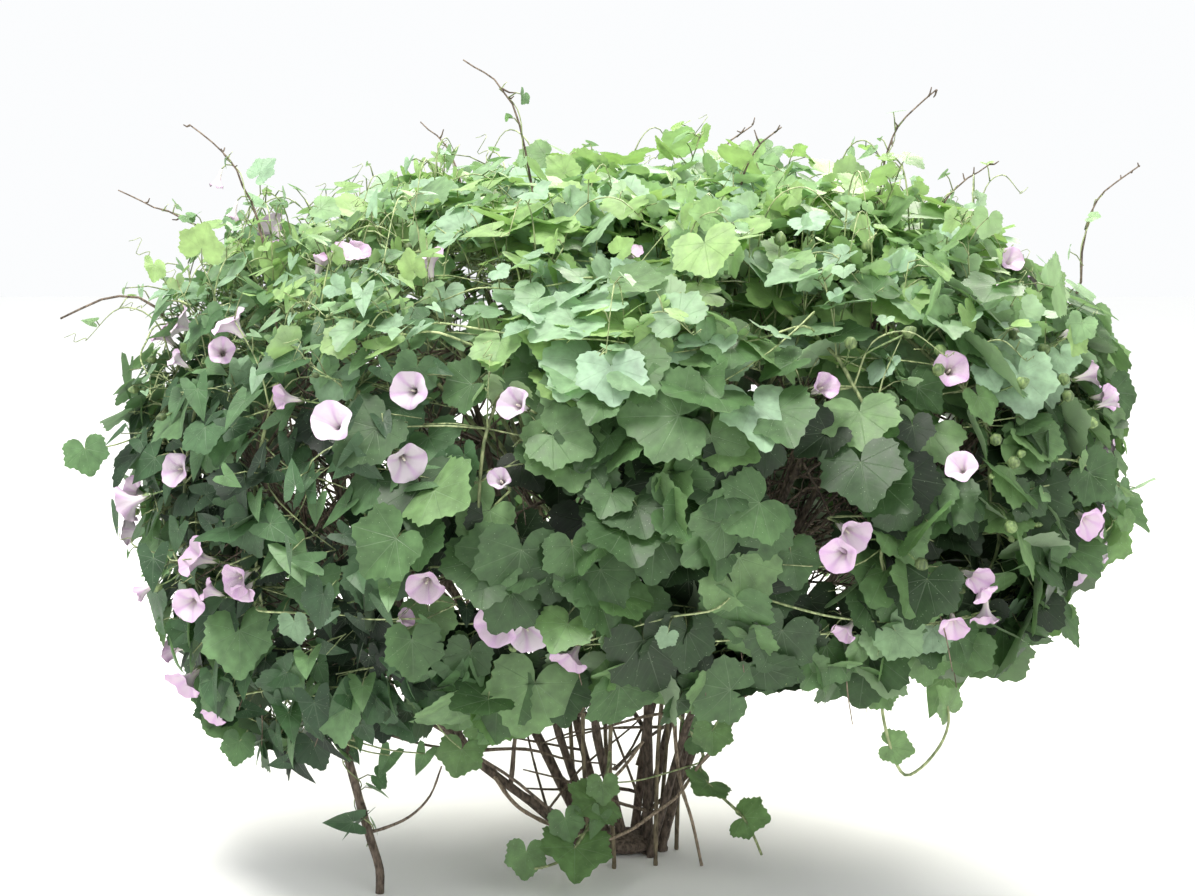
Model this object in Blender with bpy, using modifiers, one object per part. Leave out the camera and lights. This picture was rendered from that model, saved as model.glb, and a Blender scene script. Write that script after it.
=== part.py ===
"""Morning glory vine: seven leafy climbers with funnel flowers over the many-stemmed shrub that holds them up.

Metres, +Z up, front is -Y. The origin is on the ground, on the cut end of the shrub's middle stem.
Angles around the plant are degrees from the front, growing to the right.
"""
import math
import random

import bmesh
import bpy
from mathutils import Matrix, Vector
from mathutils.bvhtree import BVHTree

# The leafy crown: a barrel with a flat top and an uneven hem
CROWN_WIDE = 0.585
CROWN_DEEP = 0.410
CROWN_TOP = 0.790
CROWN_MIDDLE = 0.490
HEM_FRONT = 0.330
HEM_LEFT_DROP = 0.150
HEM_LEFT = (297, 62)
LOWER_TAPER = 0.20
TOP_FALL_TO_FRONT = 0.045
STEM_DEPTH_IN_CROWN = 0.035

# Wood
TWIG_RADIUS = 0.0020
WHIP_RADIUS = 0.0021
ROOT_CROWN_RADIUS = 0.044
ROOT_CROWN_LOW = 0.005
ROOT_CROWN_HIGH = 0.026

# Climbers
VINE_RADIUS = 0.0026
VINE_FOOT_RING = 0.066
FORK_HEIGHT = 0.430
FORK_RING = 0.120
STALK_RADIUS = 0.0017

# Leaves
BLADE_THICK = 0.0009
LEAF_STEP = 0.130
LOBED_LENGTH = 0.134
ARROW_LENGTH = 0.116

# Blooms
BLOOM_WIDE = 0.050
BLOOM_LONG = 0.042
BLOOM_STEPS = 8

GAP = 0.0003
PROP_GAP = 0.0005
CLEAR = 0.0014
SEED = 41

# Each stem of the shrub: foot x and y, a point it passes, where it ends, radius
STEMS = (
    ((-0.052, -0.010), (-0.198, -0.050, 0.155), (-0.430, -0.110, 0.500), 0.0066),
    ((-0.027, -0.030), (-0.182, -0.100, 0.156), (-0.330, -0.220, 0.520), 0.0060),
    ((-0.043, 0.013), (-0.133, 0.030, 0.190), (-0.380, 0.150, 0.580), 0.0078),
    ((-0.033, -0.014), (-0.085, -0.020, 0.178), (-0.190, -0.090, 0.640), 0.0062),
    ((-0.020, 0.008), (-0.061, 0.040, 0.170), (-0.150, 0.220, 0.620), 0.0064),
    ((0.000, 0.000), (-0.035, -0.030, 0.175), (-0.040, -0.230, 0.610), 0.0070),
    ((0.029, -0.008), (0.032, 0.000, 0.216), (0.090, 0.020, 0.670), 0.0074),
    ((0.014, 0.024), (0.035, 0.070, 0.200), (0.080, 0.270, 0.600), 0.0060),
    ((0.048, 0.000), (0.086, -0.020, 0.167), (0.290, -0.100, 0.610), 0.0070),
    ((0.038, 0.020), (0.130, 0.050, 0.200), (0.440, 0.060, 0.520), 0.0066),
    ((0.034, -0.024), (0.080, -0.080, 0.200), (0.190, -0.270, 0.540), 0.0058),
    ((0.022, 0.030), (0.080, 0.100, 0.200), (0.290, 0.210, 0.580), 0.0062),
)
# The stem that leans out to the ground at the front left, from its joint with the first stem down to its foot
LEANING_JOINT = 6
LEANING = (
    (-0.384, -0.128, 0.298), (-0.349, -0.136, 0.243), (-0.327, -0.140, 0.175), (-0.308, -0.144, 0.100),
    (-0.288, -0.150, 0.030), (-0.288, -0.150, 0.000),
)
LEANING_RADIUS = 0.0052
# Bare whips: number of the stem that they grow from, then the way out of the crown to the tip
WHIPS = (
    (5, ((-0.099, -0.060, 0.770), (-0.121, -0.056, 0.892), (-0.150, -0.052, 0.943), (-0.186, -0.050, 0.966))),
    (0, ((-0.416, -0.050, 0.734), (-0.443, -0.050, 0.823), (-0.466, -0.050, 0.862), (-0.502, -0.050, 0.892))),
    (2, ((-0.474, 0.050, 0.728), (-0.521, 0.050, 0.772), (-0.563, 0.050, 0.790), (-0.607, 0.050, 0.810))),
    (8, ((0.293, -0.030, 0.790), (0.306, -0.030, 0.862), (0.325, -0.030, 0.899), (0.361, -0.030, 0.932))),
    (9, ((0.524, 0.000, 0.660), (0.544, 0.000, 0.767), (0.566, 0.000, 0.812), (0.606, 0.000, 0.842))),
    (11, ((0.374, 0.100, 0.764), (0.407, 0.100, 0.810), (0.445, 0.100, 0.838))),
    (6, ((0.132, 0.000, 0.800), (0.152, 0.000, 0.858), (0.184, 0.000, 0.888))),
    (0, ((-0.520, -0.050, 0.650), (-0.589, -0.050, 0.693), (-0.660, -0.050, 0.668))),
    (4, ((-0.200, 0.250, 0.780), (-0.226, 0.272, 0.850), (-0.262, 0.290, 0.880))),
    (7, ((0.110, 0.290, 0.770), (0.130, 0.310, 0.840), (0.170, 0.330, 0.875))),
)
# Each climber: angle of its foot, angles of its forks down the outside, leaf kind
CLIMBERS = (
    (350, (342, 358, 14), "lobed"), (35, (31, 47, 63), "lobed"), (92, (79, 94, 110), "lobed"),
    (140, (127, 144, 161), "lobed"), (195, (178, 195, 212), "arrow"), (240, (229, 245, 260), "arrow"),
    (318, (276, 292, 308, 325), "arrow"),
)
# Where the blooms show on the crown: angle, way down from the top (0) to the hem (1)
BLOOM_SPOTS = (
    (40, 0.40), (66, 0.30), (91, 0.34), (81, 0.57), (75, 0.84), (67, 0.91), (23, 0.62), (22, 0.41), (336, 0.43),
    (347, 0.43), (338, 0.53), (345, 0.55), (300, 0.59), (304, 0.67), (313, 0.69), (337, 0.73), (344, 0.81),
    (348, 0.87), (352, 0.93), (272, 0.43), (288, 0.38), (299, 0.16), (104, 0.20), (2, 0.12),
    (118, 0.45), (150, 0.55), (172, 0.40), (205, 0.62), (232, 0.42), (250, 0.66),
)


def around(angle, radius):
    turn = math.radians(angle)
    return Vector((radius * math.sin(turn), -radius * math.cos(turn), 0))


def near(angle, centre, width):
    """1 at the centre angle, falling to 0 a width away."""
    off = abs((angle - centre + 180) % 360 - 180)
    return max(0.0, 1 - off / width) ** 1.5


def crown(angle, down, inward=0.0):
    """A point of the crown's surface, down from 0 at the middle of the top to 1 at the hem, moved inward."""
    hem = HEM_FRONT - HEM_LEFT_DROP * near(angle, *HEM_LEFT)
    tilt = math.radians(90 - 150 * down)
    if tilt >= 0:
        wide = math.cos(tilt) ** 0.6
        high = CROWN_MIDDLE + (CROWN_TOP - CROWN_MIDDLE) * math.sin(tilt) ** 0.8
    else:
        part = -tilt / math.radians(60)
        wide = 1 - LOWER_TAPER * part ** 2
        high = CROWN_MIDDLE - (CROWN_MIDDLE - hem) * math.sin(-tilt) / math.sin(math.radians(60))
    turn = math.radians(angle)
    flat = Vector((CROWN_WIDE * wide * math.sin(turn), -CROWN_DEEP * wide * math.cos(turn), 0))
    if flat.length > 1e-6:
        flat -= flat.normalized() * min(inward * math.cos(tilt * 0.9), flat.length * 0.9)
    high -= inward * max(0.0, math.sin(tilt)) + TOP_FALL_TO_FRONT * wide * math.cos(turn) * max(0.0, math.sin(tilt))
    return Vector((flat.x, flat.y, high))


def outward(angle, down):
    """The crown's outside direction at a spot."""
    here = crown(angle, down)
    along = crown(angle, min(1.0, down + 0.03)) - crown(angle, max(0.01, down - 0.03))
    side = crown(angle + 4, down) - crown(angle - 4, down)
    out = side.cross(along).normalized()
    return out if out.dot(here - Vector((0, 0, CROWN_MIDDLE - 0.1))) > 0 else -out


def through(points, steps):
    """A smooth path through the points, with so many pieces between each two."""
    ends = [points[0] * 2 - points[1]] + list(points) + [points[-1] * 2 - points[-2]]
    path = []
    for i in range(1, len(ends) - 2):
        a, b, c, d = ends[i - 1], ends[i], ends[i + 1], ends[i + 2]
        for k in range(steps):
            t = k / steps
            path.append(0.5 * (2 * b + (c - a) * t + (2 * a - 5 * b + 4 * c - d) * t * t
                               + (3 * b - 3 * c + d - a) * t ** 3))
    return path + [points[-1].copy()]


def scene_object(name, data, home):
    obj = bpy.data.objects.new(name, data)
    home.objects.link(obj)
    return obj


def tube(path, first, last, sides, home):
    """A round rod along the path, its radius going evenly from the first to the last value."""
    curve = bpy.data.curves.new("rod", "CURVE")
    curve.dimensions = "3D"
    curve.bevel_depth = 1.0
    curve.bevel_resolution = (sides - 4) // 2
    curve.use_fill_caps = True
    spline = curve.splines.new("POLY")
    spline.points.add(len(path) - 1)
    for i, point in enumerate(path):
        spline.points[i].co = (*point, 1)
        spline.points[i].radius = first + (last - first) * i / (len(path) - 1)
    holder = bpy.data.objects.new("rod", curve)
    mesh = bpy.data.meshes.new_from_object(holder)
    bpy.data.objects.remove(holder)
    bpy.data.curves.remove(curve)
    work = bmesh.new()
    work.from_mesh(mesh)
    bmesh.ops.remove_doubles(work, verts=work.verts, dist=0.00005)
    bmesh.ops.recalc_face_normals(work, faces=work.faces)
    work.to_mesh(mesh)
    work.free()
    return scene_object("rod", mesh, home) if home else mesh


# Half of each leaf's outline, joint to tip, as parts of its length
LOBED_HALF = ((0.15, -0.20), (0.42, -0.08), (0.56, 0.36), (0.28, 0.50), (0.0, 1.0))
ARROW_HALF = ((0.15, -0.26), (0.37, -0.30), (0.31, 0.22), (0.0, 1.0))
JOINT_REACH = 0.007


def blade(kind, spot, length, thick):
    """A leaf blade as a bmesh: a fan around its base, folded a little along the midrib, with a corner in the stem."""
    half = LOBED_HALF if kind == "lobed" else ARROW_HALF
    loop = [(x * length, y * length) for x, y in half]
    loop += [(-x, y) for x, y in reversed(loop[:-1])] + [(0.0, -JOINT_REACH)]
    work = bmesh.new()
    verts = []
    for x, y in loop:
        lift = JOINT_REACH + 0.16 * abs(x) - 0.10 * max(0.0, y) ** 2 / length
        if (x, y) == loop[-1]:
            lift = 0.0
        verts.append(work.verts.new(spot @ Vector((x, y + JOINT_REACH, lift))))
    base = work.verts.new(spot @ Vector((0, JOINT_REACH, JOINT_REACH)))
    for i, vert in enumerate(verts):
        work.faces.new((base, verts[i - 1], vert))
    bmesh.ops.recalc_face_normals(work, faces=work.faces)
    bmesh.ops.solidify(work, geom=work.faces[:], thickness=thick)
    bmesh.ops.recalc_face_normals(work, faces=work.faces)
    return work


class Placed:
    """Everything already in place, so that nothing new crosses it."""

    def __init__(self):
        self.trees = []

    def add(self, tree, box, owner):
        self.trees.append((tree, box, owner))

    def hits(self, tree, box, skip=()):
        low, high = box
        for other, (low2, high2), owner in self.trees:
            if owner in skip:
                continue
            if any(low[i] > high2[i] or low2[i] > high[i] for i in range(3)):
                continue
            if tree.overlap(other):
                return True
        return False


def tree_of(mesh):
    """The search tree and the box of a mesh or bmesh."""
    points = [v.co.copy() for v in (mesh.verts if isinstance(mesh, bmesh.types.BMesh) else mesh.vertices)]
    if isinstance(mesh, bmesh.types.BMesh):
        faces = [[v.index for v in f.verts] for f in mesh.faces]
    else:
        faces = [list(f.vertices) for f in mesh.polygons]
    low = [min(p[i] for p in points) for i in range(3)]
    high = [max(p[i] for p in points) for i in range(3)]
    return BVHTree.FromPolygons(points, faces), (low, high)


def rod_tree(path, first, last, sides, extra):
    mesh = tube(path, first + extra, last + extra, sides, None)
    tree, box = tree_of(mesh)
    bpy.data.meshes.remove(mesh)
    return tree, box


def union(name, pieces, home):
    """One closed body of all the pieces, made by a Boolean on a collection."""
    group = bpy.data.collections.new("union")
    bpy.context.scene.collection.children.link(group)
    base = pieces[0]
    for piece in pieces[1:]:
        home.objects.unlink(piece)
        group.objects.link(piece)
    cut = base.modifiers.new("union", "BOOLEAN")
    cut.operation = "UNION"
    cut.operand_type = "COLLECTION"
    cut.collection = group
    cut.solver = "MANIFOLD"
    bpy.context.view_layer.update()
    graph = bpy.context.evaluated_depsgraph_get()
    mesh = bpy.data.meshes.new_from_object(base.evaluated_get(graph))
    base.modifiers.clear()
    base.data = mesh
    base.name = name
    mesh.name = name
    for piece in list(group.objects):
        bpy.data.objects.remove(piece)
    bpy.data.collections.remove(group)
    keep_largest(mesh)
    return base


def keep_largest(mesh):
    """Drops crumbs that a union leaves beside the body, such as the wall of a pocket inside a joint."""
    work = bmesh.new()
    work.from_mesh(mesh)
    left = set(work.verts)
    bodies = []
    while left:
        body = [left.pop()]
        for vert in body:
            for edge in vert.link_edges:
                other = edge.other_vert(vert)
                if other in left:
                    left.remove(other)
                    body.append(other)
        bodies.append(body)
    bodies.sort(key=len)
    for body in bodies[:-1]:
        if len(body) > 30:
            print("a large body fell away", mesh.name, len(body))
        bmesh.ops.delete(work, geom=body, context="VERTS")
    work.to_mesh(mesh)
    work.free()


def bloom_mesh(name, home):
    """A funnel flower: a turned profile with a thin limb, its base at the origin and its mouth up +Z."""
    rim = BLOOM_WIDE / 2
    profile = ((0, 0.56), (rim - 0.0006, 1.0), (rim, 0.975), (0.20 * BLOOM_WIDE, 0.62), (0.0024, 0.0), (0, 0.0))
    mesh = bpy.data.meshes.new(name)
    points = [(x, 0, z * BLOOM_LONG) for x, z in profile]
    mesh.from_pydata(points, [(i, i + 1) for i in range(len(points) - 1)], [])
    obj = scene_object(name, mesh, home)
    turn = obj.modifiers.new("turn", "SCREW")
    turn.steps = BLOOM_STEPS
    turn.render_steps = BLOOM_STEPS
    turn.use_merge_vertices = True
    turn.merge_threshold = 0.00005
    bpy.context.view_layer.update()
    graph = bpy.context.evaluated_depsgraph_get()
    made = bpy.data.meshes.new_from_object(obj.evaluated_get(graph))
    bpy.data.objects.remove(obj)
    work = bmesh.new()
    work.from_mesh(made)
    bmesh.ops.remove_doubles(work, verts=work.verts, dist=0.00005)
    bmesh.ops.recalc_face_normals(work, faces=work.faces)
    work.to_mesh(made)
    work.free()
    return made


def aim(direction, spin=0.0):
    """A turn that takes +Z to the direction."""
    return direction.to_track_quat("Z", "Y").to_matrix().to_4x4() @ Matrix.Rotation(spin, 4, "Z")


def stem_path(foot, knee, end):
    low = Vector((foot[0], foot[1], 0))
    up = Vector((foot[0], foot[1], 0.012))
    knee = Vector(knee)
    end = Vector(end)
    part = low.lerp(knee, 0.42)
    return [low] + through([up, Vector((part.x, part.y, knee.z * 0.46)), knee, knee.lerp(end, 0.5), end], 2)


def main_wood():
    """The shrub's main stems, the leaning stem and the bare whips, as rods still to be placed."""
    rods = []
    paths = []
    for foot, knee, end, radius in STEMS:
        path = stem_path(foot, knee, end)
        paths.append(path)
        rods.append((path, radius, radius * 0.5, 6))
    lean = [paths[0][LEANING_JOINT]] + [Vector(p) for p in LEANING]
    rods.append((through(lean[:-1], 2) + [lean[-1]], LEANING_RADIUS, LEANING_RADIUS, 6))
    for number, way in WHIPS:
        rods.append(([paths[number][-2]] + [Vector(p) for p in way], WHIP_RADIUS, WHIP_RADIUS * 0.6, 4))
    return rods, paths


def climb_paths(spec, shift, rng):
    """The routes of one climber: the trunk from the ground to the fork, then each branch over the crown."""
    foot, forks, _kind = spec
    foot = foot + shift
    sway = rng.uniform(-6, 6)
    trunk = [around(foot, VINE_FOOT_RING), around(foot, VINE_FOOT_RING) + Vector((0, 0, 0.015))]
    trunk.append(around(foot + sway, VINE_FOOT_RING + 0.006) + Vector((0, 0, 0.15)))
    trunk.append(around(foot - sway, VINE_FOOT_RING + 0.022) + Vector((0, 0, 0.29)))
    trunk.append(around(foot, FORK_RING) + Vector((0, 0, FORK_HEIGHT)))
    return [trunk[0]] + through(trunk[1:], 2)


def branch_path(fork, angle, start, swing, rng):
    """A branch from the fork up to the top of the crown, outward and down to the hem."""
    points = [fork]
    points.append(fork.lerp(crown(angle, start, STEM_DEPTH_IN_CROWN), 0.55) + around(angle, -0.012))
    downs = [start] + [d / 10 for d in range(int(start * 10) + 1, 11)]
    for i, down in enumerate(downs):
        if 0 < i < len(downs) - 1 and i % 2 == 0 and down < 0.35:
            continue
        lean = swing * math.sin(3.1 * down + start * 9) + rng.uniform(-1, 1)
        points.append(crown(angle + lean, down, STEM_DEPTH_IN_CROWN + rng.uniform(-0.006, 0.006)))
    return points


def place_climbers(placed, rng):
    """Finds clear routes for all climbers. Returns for each its rods and, for its leaves, its branch routes."""
    climbers = []
    for number, spec in enumerate(CLIMBERS):
        own = "vine_%02d" % (number + 1)
        for attempt in range(60):
            shift = rng.uniform(-2, 2) * (1 + attempt * 0.25)
            trunk = climb_paths(spec, shift, rng)
            tree, box = rod_tree(trunk, VINE_RADIUS * 1.3, VINE_RADIUS, 4, CLEAR)
            if not placed.hits(tree, box):
                break
        else:
            print("trunk not clear", own)
        rods = [(trunk, VINE_RADIUS * 1.3, VINE_RADIUS, 4)]
        placed.add(tree, box, own)
        routes = []
        for index, angle in enumerate(spec[1]):
            for attempt in range(80):
                start = rng.uniform(0.04, 0.13) if index % 2 == 0 else rng.uniform(0.15, 0.24)
                turned = angle + rng.uniform(-1, 1) * (1 + attempt * 0.12)
                path = branch_path(trunk[-1], turned, start, rng.uniform(-5, 5), rng)
                tree, box = rod_tree(path, VINE_RADIUS, VINE_RADIUS * 0.6, 4, CLEAR)
                if not placed.hits(tree, box, (own,)) and not any(
                        (a - b).length < 0.02 for r in routes for a in r[3:] for b in path[3:]):
                    break
            else:
                print("branch not clear", own, angle)
                continue
            rods.append((path, VINE_RADIUS, VINE_RADIUS * 0.6, 4))
            routes.append(path)
            placed.add(tree, box, own)
        for route in EXTRA_ROUTES.get(number, ()):
            joins = sorted((p for r in routes + [trunk] for p in r[2:-1]), key=lambda p: (p - Vector(route[0])).length)
            for attempt in range(60):
                join = joins[attempt // 12]
                loose = 0.001 * attempt
                moved = [Vector(p) + Vector((rng.uniform(-loose, loose), rng.uniform(-loose, loose), 0)) for p in route]
                path = [join] + through(moved, 2)
                tree, box = rod_tree(path, VINE_RADIUS * 0.8, VINE_RADIUS * 0.6, 4, CLEAR)
                if not placed.hits(tree, box, (own,)):
                    break
            else:
                print("extra route not clear", own)
                continue
            rods.append((path, VINE_RADIUS * 0.8, VINE_RADIUS * 0.6, 4))
            routes.append([join] * 2 + path[1:])
            placed.add(tree, box, own)
        climbers.append((own, spec[2], rods, routes))
    return climbers


# Low and hanging shoots, by the number of the climber that they grow from
EXTRA_ROUTES = {
    1: (((0.342, -0.260, 0.405), (0.307, -0.270, 0.345), (0.283, -0.280, 0.293), (0.288, -0.280, 0.236),
         (0.310, -0.280, 0.185), (0.345, -0.270, 0.209), (0.360, -0.260, 0.242), (0.356, -0.240, 0.272)),
        ((0.078, -0.070, 0.150), (0.109, -0.100, 0.120), (0.137, -0.140, 0.090), (0.160, -0.180, 0.060))),
    0: (((-0.020, -0.085, 0.130), (-0.041, -0.130, 0.080), (-0.070, -0.165, 0.048), (-0.105, -0.185, 0.042)),),
}
EXTRA_LEAF_SHARE = 0.52


def place_blooms(placed, climbers, rng):
    """A stalk from the nearest stem to each spot where a bloom shows, and the bloom on its end."""
    model = bloom_mesh("bloom", bpy.context.scene.collection)
    shape = [v.co.copy() for v in model.vertices]
    faces = [list(f.vertices) for f in model.polygons]
    bpy.data.meshes.remove(model)
    blooms = []
    for angle, down in BLOOM_SPOTS:
        for attempt in range(40):
            loose = 0.25 + attempt * 0.05
            where = angle + rng.uniform(-6, 6) * loose
            level = min(0.95, max(0.08, down + rng.uniform(-0.05, 0.05) * loose))
            lean = Vector((rng.uniform(-0.8, 0.8), rng.uniform(-0.5, 0.3), rng.uniform(-0.45, 0.75)))
            face = (outward(where, level) + lean).normalized()
            mouth = crown(where, level) + outward(where, level) * rng.uniform(0.004, 0.022)
            base = mouth - face * BLOOM_LONG
            options = [(p, own) for own, _kind, _rods, routes in climbers for r in routes for p in r[2:-1]]
            root, own = min(options, key=lambda o: (o[0] - base).length)
            if (root - base).length < 0.016:
                base = base + face * 0.014
            end = base - face * GAP
            stalk = [root, end - face * 0.010, end]
            spot = Matrix.Translation(base) @ aim(face, rng.uniform(0, 6.28))
            grown = Matrix.Diagonal((1.08, 1.08, 1.04, 1))
            points = [spot @ (grown @ (p - Vector((0, 0, 0.0004)))) for p in shape]
            low = [min(p[i] for p in points) for i in range(3)]
            high = [max(p[i] for p in points) for i in range(3)]
            flower = BVHTree.FromPolygons(points, faces)
            tree, box = rod_tree(stalk, STALK_RADIUS, STALK_RADIUS, 4, CLEAR)
            if placed.hits(flower, (low, high)) or placed.hits(tree, box, (own,)):
                continue
            name = "bloom_%02d" % (len(blooms) + 1)
            placed.add(flower, (low, high), name)
            placed.add(tree, box, own)
            blooms.append((name, own, stalk, spot))
            break
        else:
            print("bloom not placed", angle, down)
    return blooms


def leaf_spot(root, along, out, side, turn, lift, rng):
    """The frame of a leaf: x across, y towards the tip, z to its upper side."""
    tip = (Matrix.Rotation(side * turn, 3, out) @ along).normalized()
    tip = (tip + out * lift).normalized()
    across = tip.cross(out).normalized()
    face = across.cross(tip).normalized()
    frame = Matrix((across, tip, face)).transposed().to_4x4()
    return Matrix.Translation(root) @ frame @ Matrix.Rotation(rng.uniform(-0.22, 0.22), 4, "Y")


def place_leaves(placed, climbers, rng):
    """Leaves to both sides along every branch, shingled outward and down, each clear of all the rest."""
    leaves = []
    for own, kind, _rods, routes in climbers:
        size = LOBED_LENGTH if kind == "lobed" else ARROW_LENGTH
        own_rods = [t for t, _box, owner in placed.trees if owner == own]
        for path in routes:
            share = EXTRA_LEAF_SHARE if path[0] == path[1] else 1.0
            travelled = LEAF_STEP * 0.5
            side = 1
            for i in range(2, len(path)):
                a, b = path[i - 1], path[i]
                length = (b - a).length
                while travelled <= length:
                    root = a.lerp(b, travelled / length) if length else a
                    travelled += LEAF_STEP * (0.8 if kind == "arrow" else 1.0) * share
                    side = -side
                    centre = Vector((0, 0, min(root.z, CROWN_MIDDLE + 0.1)))
                    out = (root - centre)
                    out = Vector((out.x / CROWN_WIDE ** 2, out.y / CROWN_DEEP ** 2, out.z * 9)).normalized()
                    along = (b - a).normalized()
                    out = (out - along * out.dot(along)).normalized()
                    for attempt in range(36):
                        scale = size * share * rng.uniform(0.82, 1.12) * (1 - 0.010 * attempt)
                        turn = math.radians(rng.uniform(28, 80) + attempt * 0.6)
                        spot = leaf_spot(root, along, out, side * (1 if attempt % 5 else -1), turn,
                                         rng.uniform(0.10, 0.55), rng)
                        work = blade(kind, spot, scale, 0.0030)
                        tree, box = tree_of(work)
                        work.free()
                        if box[0][2] < 0.004 or placed.hits(tree, box, (own,)):
                            continue
                        if attempt < 24 and sum(len(tree.overlap(t)) for t in own_rods) > 14:
                            continue
                        if any(tree.overlap(t) for t, bx, o in placed.trees if o == own + " leaf"
                               and not any(box[0][k] > bx[1][k] or bx[0][k] > box[1][k] for k in range(3))):
                            continue
                        placed.add(tree, box, own + " leaf")
                        leaves.append((own, kind, spot, scale))
                        break
                travelled -= length
    return leaves


def ray_gap(tree, start, direction, radius):
    """How far the direction runs free from the start, for a rod of that radius."""
    side = direction.orthogonal().normalized()
    other = direction.cross(side)
    best = 1.0
    for k in range(13):
        turn = k * math.pi / 6
        edge = (side * math.cos(turn) + other * math.sin(turn)) * (radius if k < 12 else 0.0)
        hit = tree.ray_cast(start + edge, direction)
        if hit[0] is not None:
            best = min(best, hit[3])
    return best


def place_props(placed, climbers, stems, rng):
    """Twigs of the shrub that reach each climber and end just against it."""
    props = []
    for own, _kind, rods, routes in climbers:
        made = 0
        meshes = [tube(*rod, None) for rod in rods]
        trees = [tree_of(mesh)[0] for mesh in meshes]
        for mesh in meshes:
            bpy.data.meshes.remove(mesh)
        for attempt in range(1500):
            if made == 3:
                break
            index = rng.randrange(len(routes))
            path = routes[index]
            i = rng.randrange(2, len(path) - 1)
            spot = path[i - 1].lerp(path[i], rng.uniform(0.3, 0.7))
            along = (path[i] - path[i - 1])
            if along.length < 0.02:
                continue
            along.normalize()
            stem = rng.choice(stems)
            start = stem[rng.randrange(4, len(stem))]
            way = (start - spot)
            way = (way - along * way.dot(along)).normalized()
            near_end = spot + way * 0.022
            if not 0.03 < (start - near_end).length < 0.30:
                continue
            free = min(ray_gap(t, near_end, -way, TWIG_RADIUS * 0.7) for t in trees)
            if free > 0.022:
                continue
            end = near_end - way * (free - PROP_GAP)
            twig = [start, start.lerp(near_end, 0.5) + Vector((0, 0, 0.006)), near_end, end]
            tree, box = rod_tree(twig[:3] + [near_end - way * max(0.001, free - 0.0045)], TWIG_RADIUS,
                                 TWIG_RADIUS * 0.7, 4, CLEAR)
            if placed.hits(tree, box, ("shrub",)):
                continue
            placed.add(*rod_tree(twig, TWIG_RADIUS, TWIG_RADIUS * 0.7, 4, CLEAR), "shrub")
            props.append((twig, TWIG_RADIUS * 1.1, TWIG_RADIUS * 0.7, 4))
            made += 1
        if not made:
            print("no twig reaches", own)
    return props


def place_twigs(placed, stems, rng, count):
    """Free side twigs of the shrub under the leaves."""
    twigs = []
    for _attempt in range(count * 30):
        if len(twigs) == count:
            break
        stem = rng.choice(stems)
        i = rng.randrange(4, len(stem) - 1)
        start = stem[i]
        run = (stem[i + 1] - stem[i]).normalized()
        side = Vector((rng.uniform(-1, 1), rng.uniform(-1, 1), rng.uniform(0.1, 1.1))).normalized()
        way = (run * 0.7 + side).normalized()
        long = rng.uniform(0.12, 0.24)
        path = [start, start + way * long * 0.5 + Vector((0, 0, 0.008)), start + way * long]
        tree, box = rod_tree(path, TWIG_RADIUS * 1.5, TWIG_RADIUS * 0.8, 4, CLEAR)
        if placed.hits(tree, box, ("shrub",)):
            continue
        placed.add(tree, box, "shrub")
        twigs.append((path, TWIG_RADIUS * 1.5, TWIG_RADIUS * 0.8, 4))
    return twigs


def layout():
    """Places every stem, bloom and leaf."""
    rng = random.Random(SEED)
    placed = Placed()
    wood, stems = main_wood()
    for rod in wood:
        placed.add(*rod_tree(*rod, CLEAR), "shrub")
    climbers = place_climbers(placed, rng)
    wood += place_props(placed, climbers, stems, rng)
    blooms = place_blooms(placed, climbers, rng)
    wood += place_twigs(placed, stems, rng, 16)
    leaves = place_leaves(placed, climbers, rng)
    return wood, climbers, blooms, leaves


def material(name, colour, roughness):
    made = bpy.data.materials.new(name)
    made.use_nodes = True
    shader = made.node_tree.nodes["Principled BSDF"]
    shader.inputs["Base Color"].default_value = (*colour, 1)
    shader.inputs["Roughness"].default_value = roughness
    return made


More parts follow.
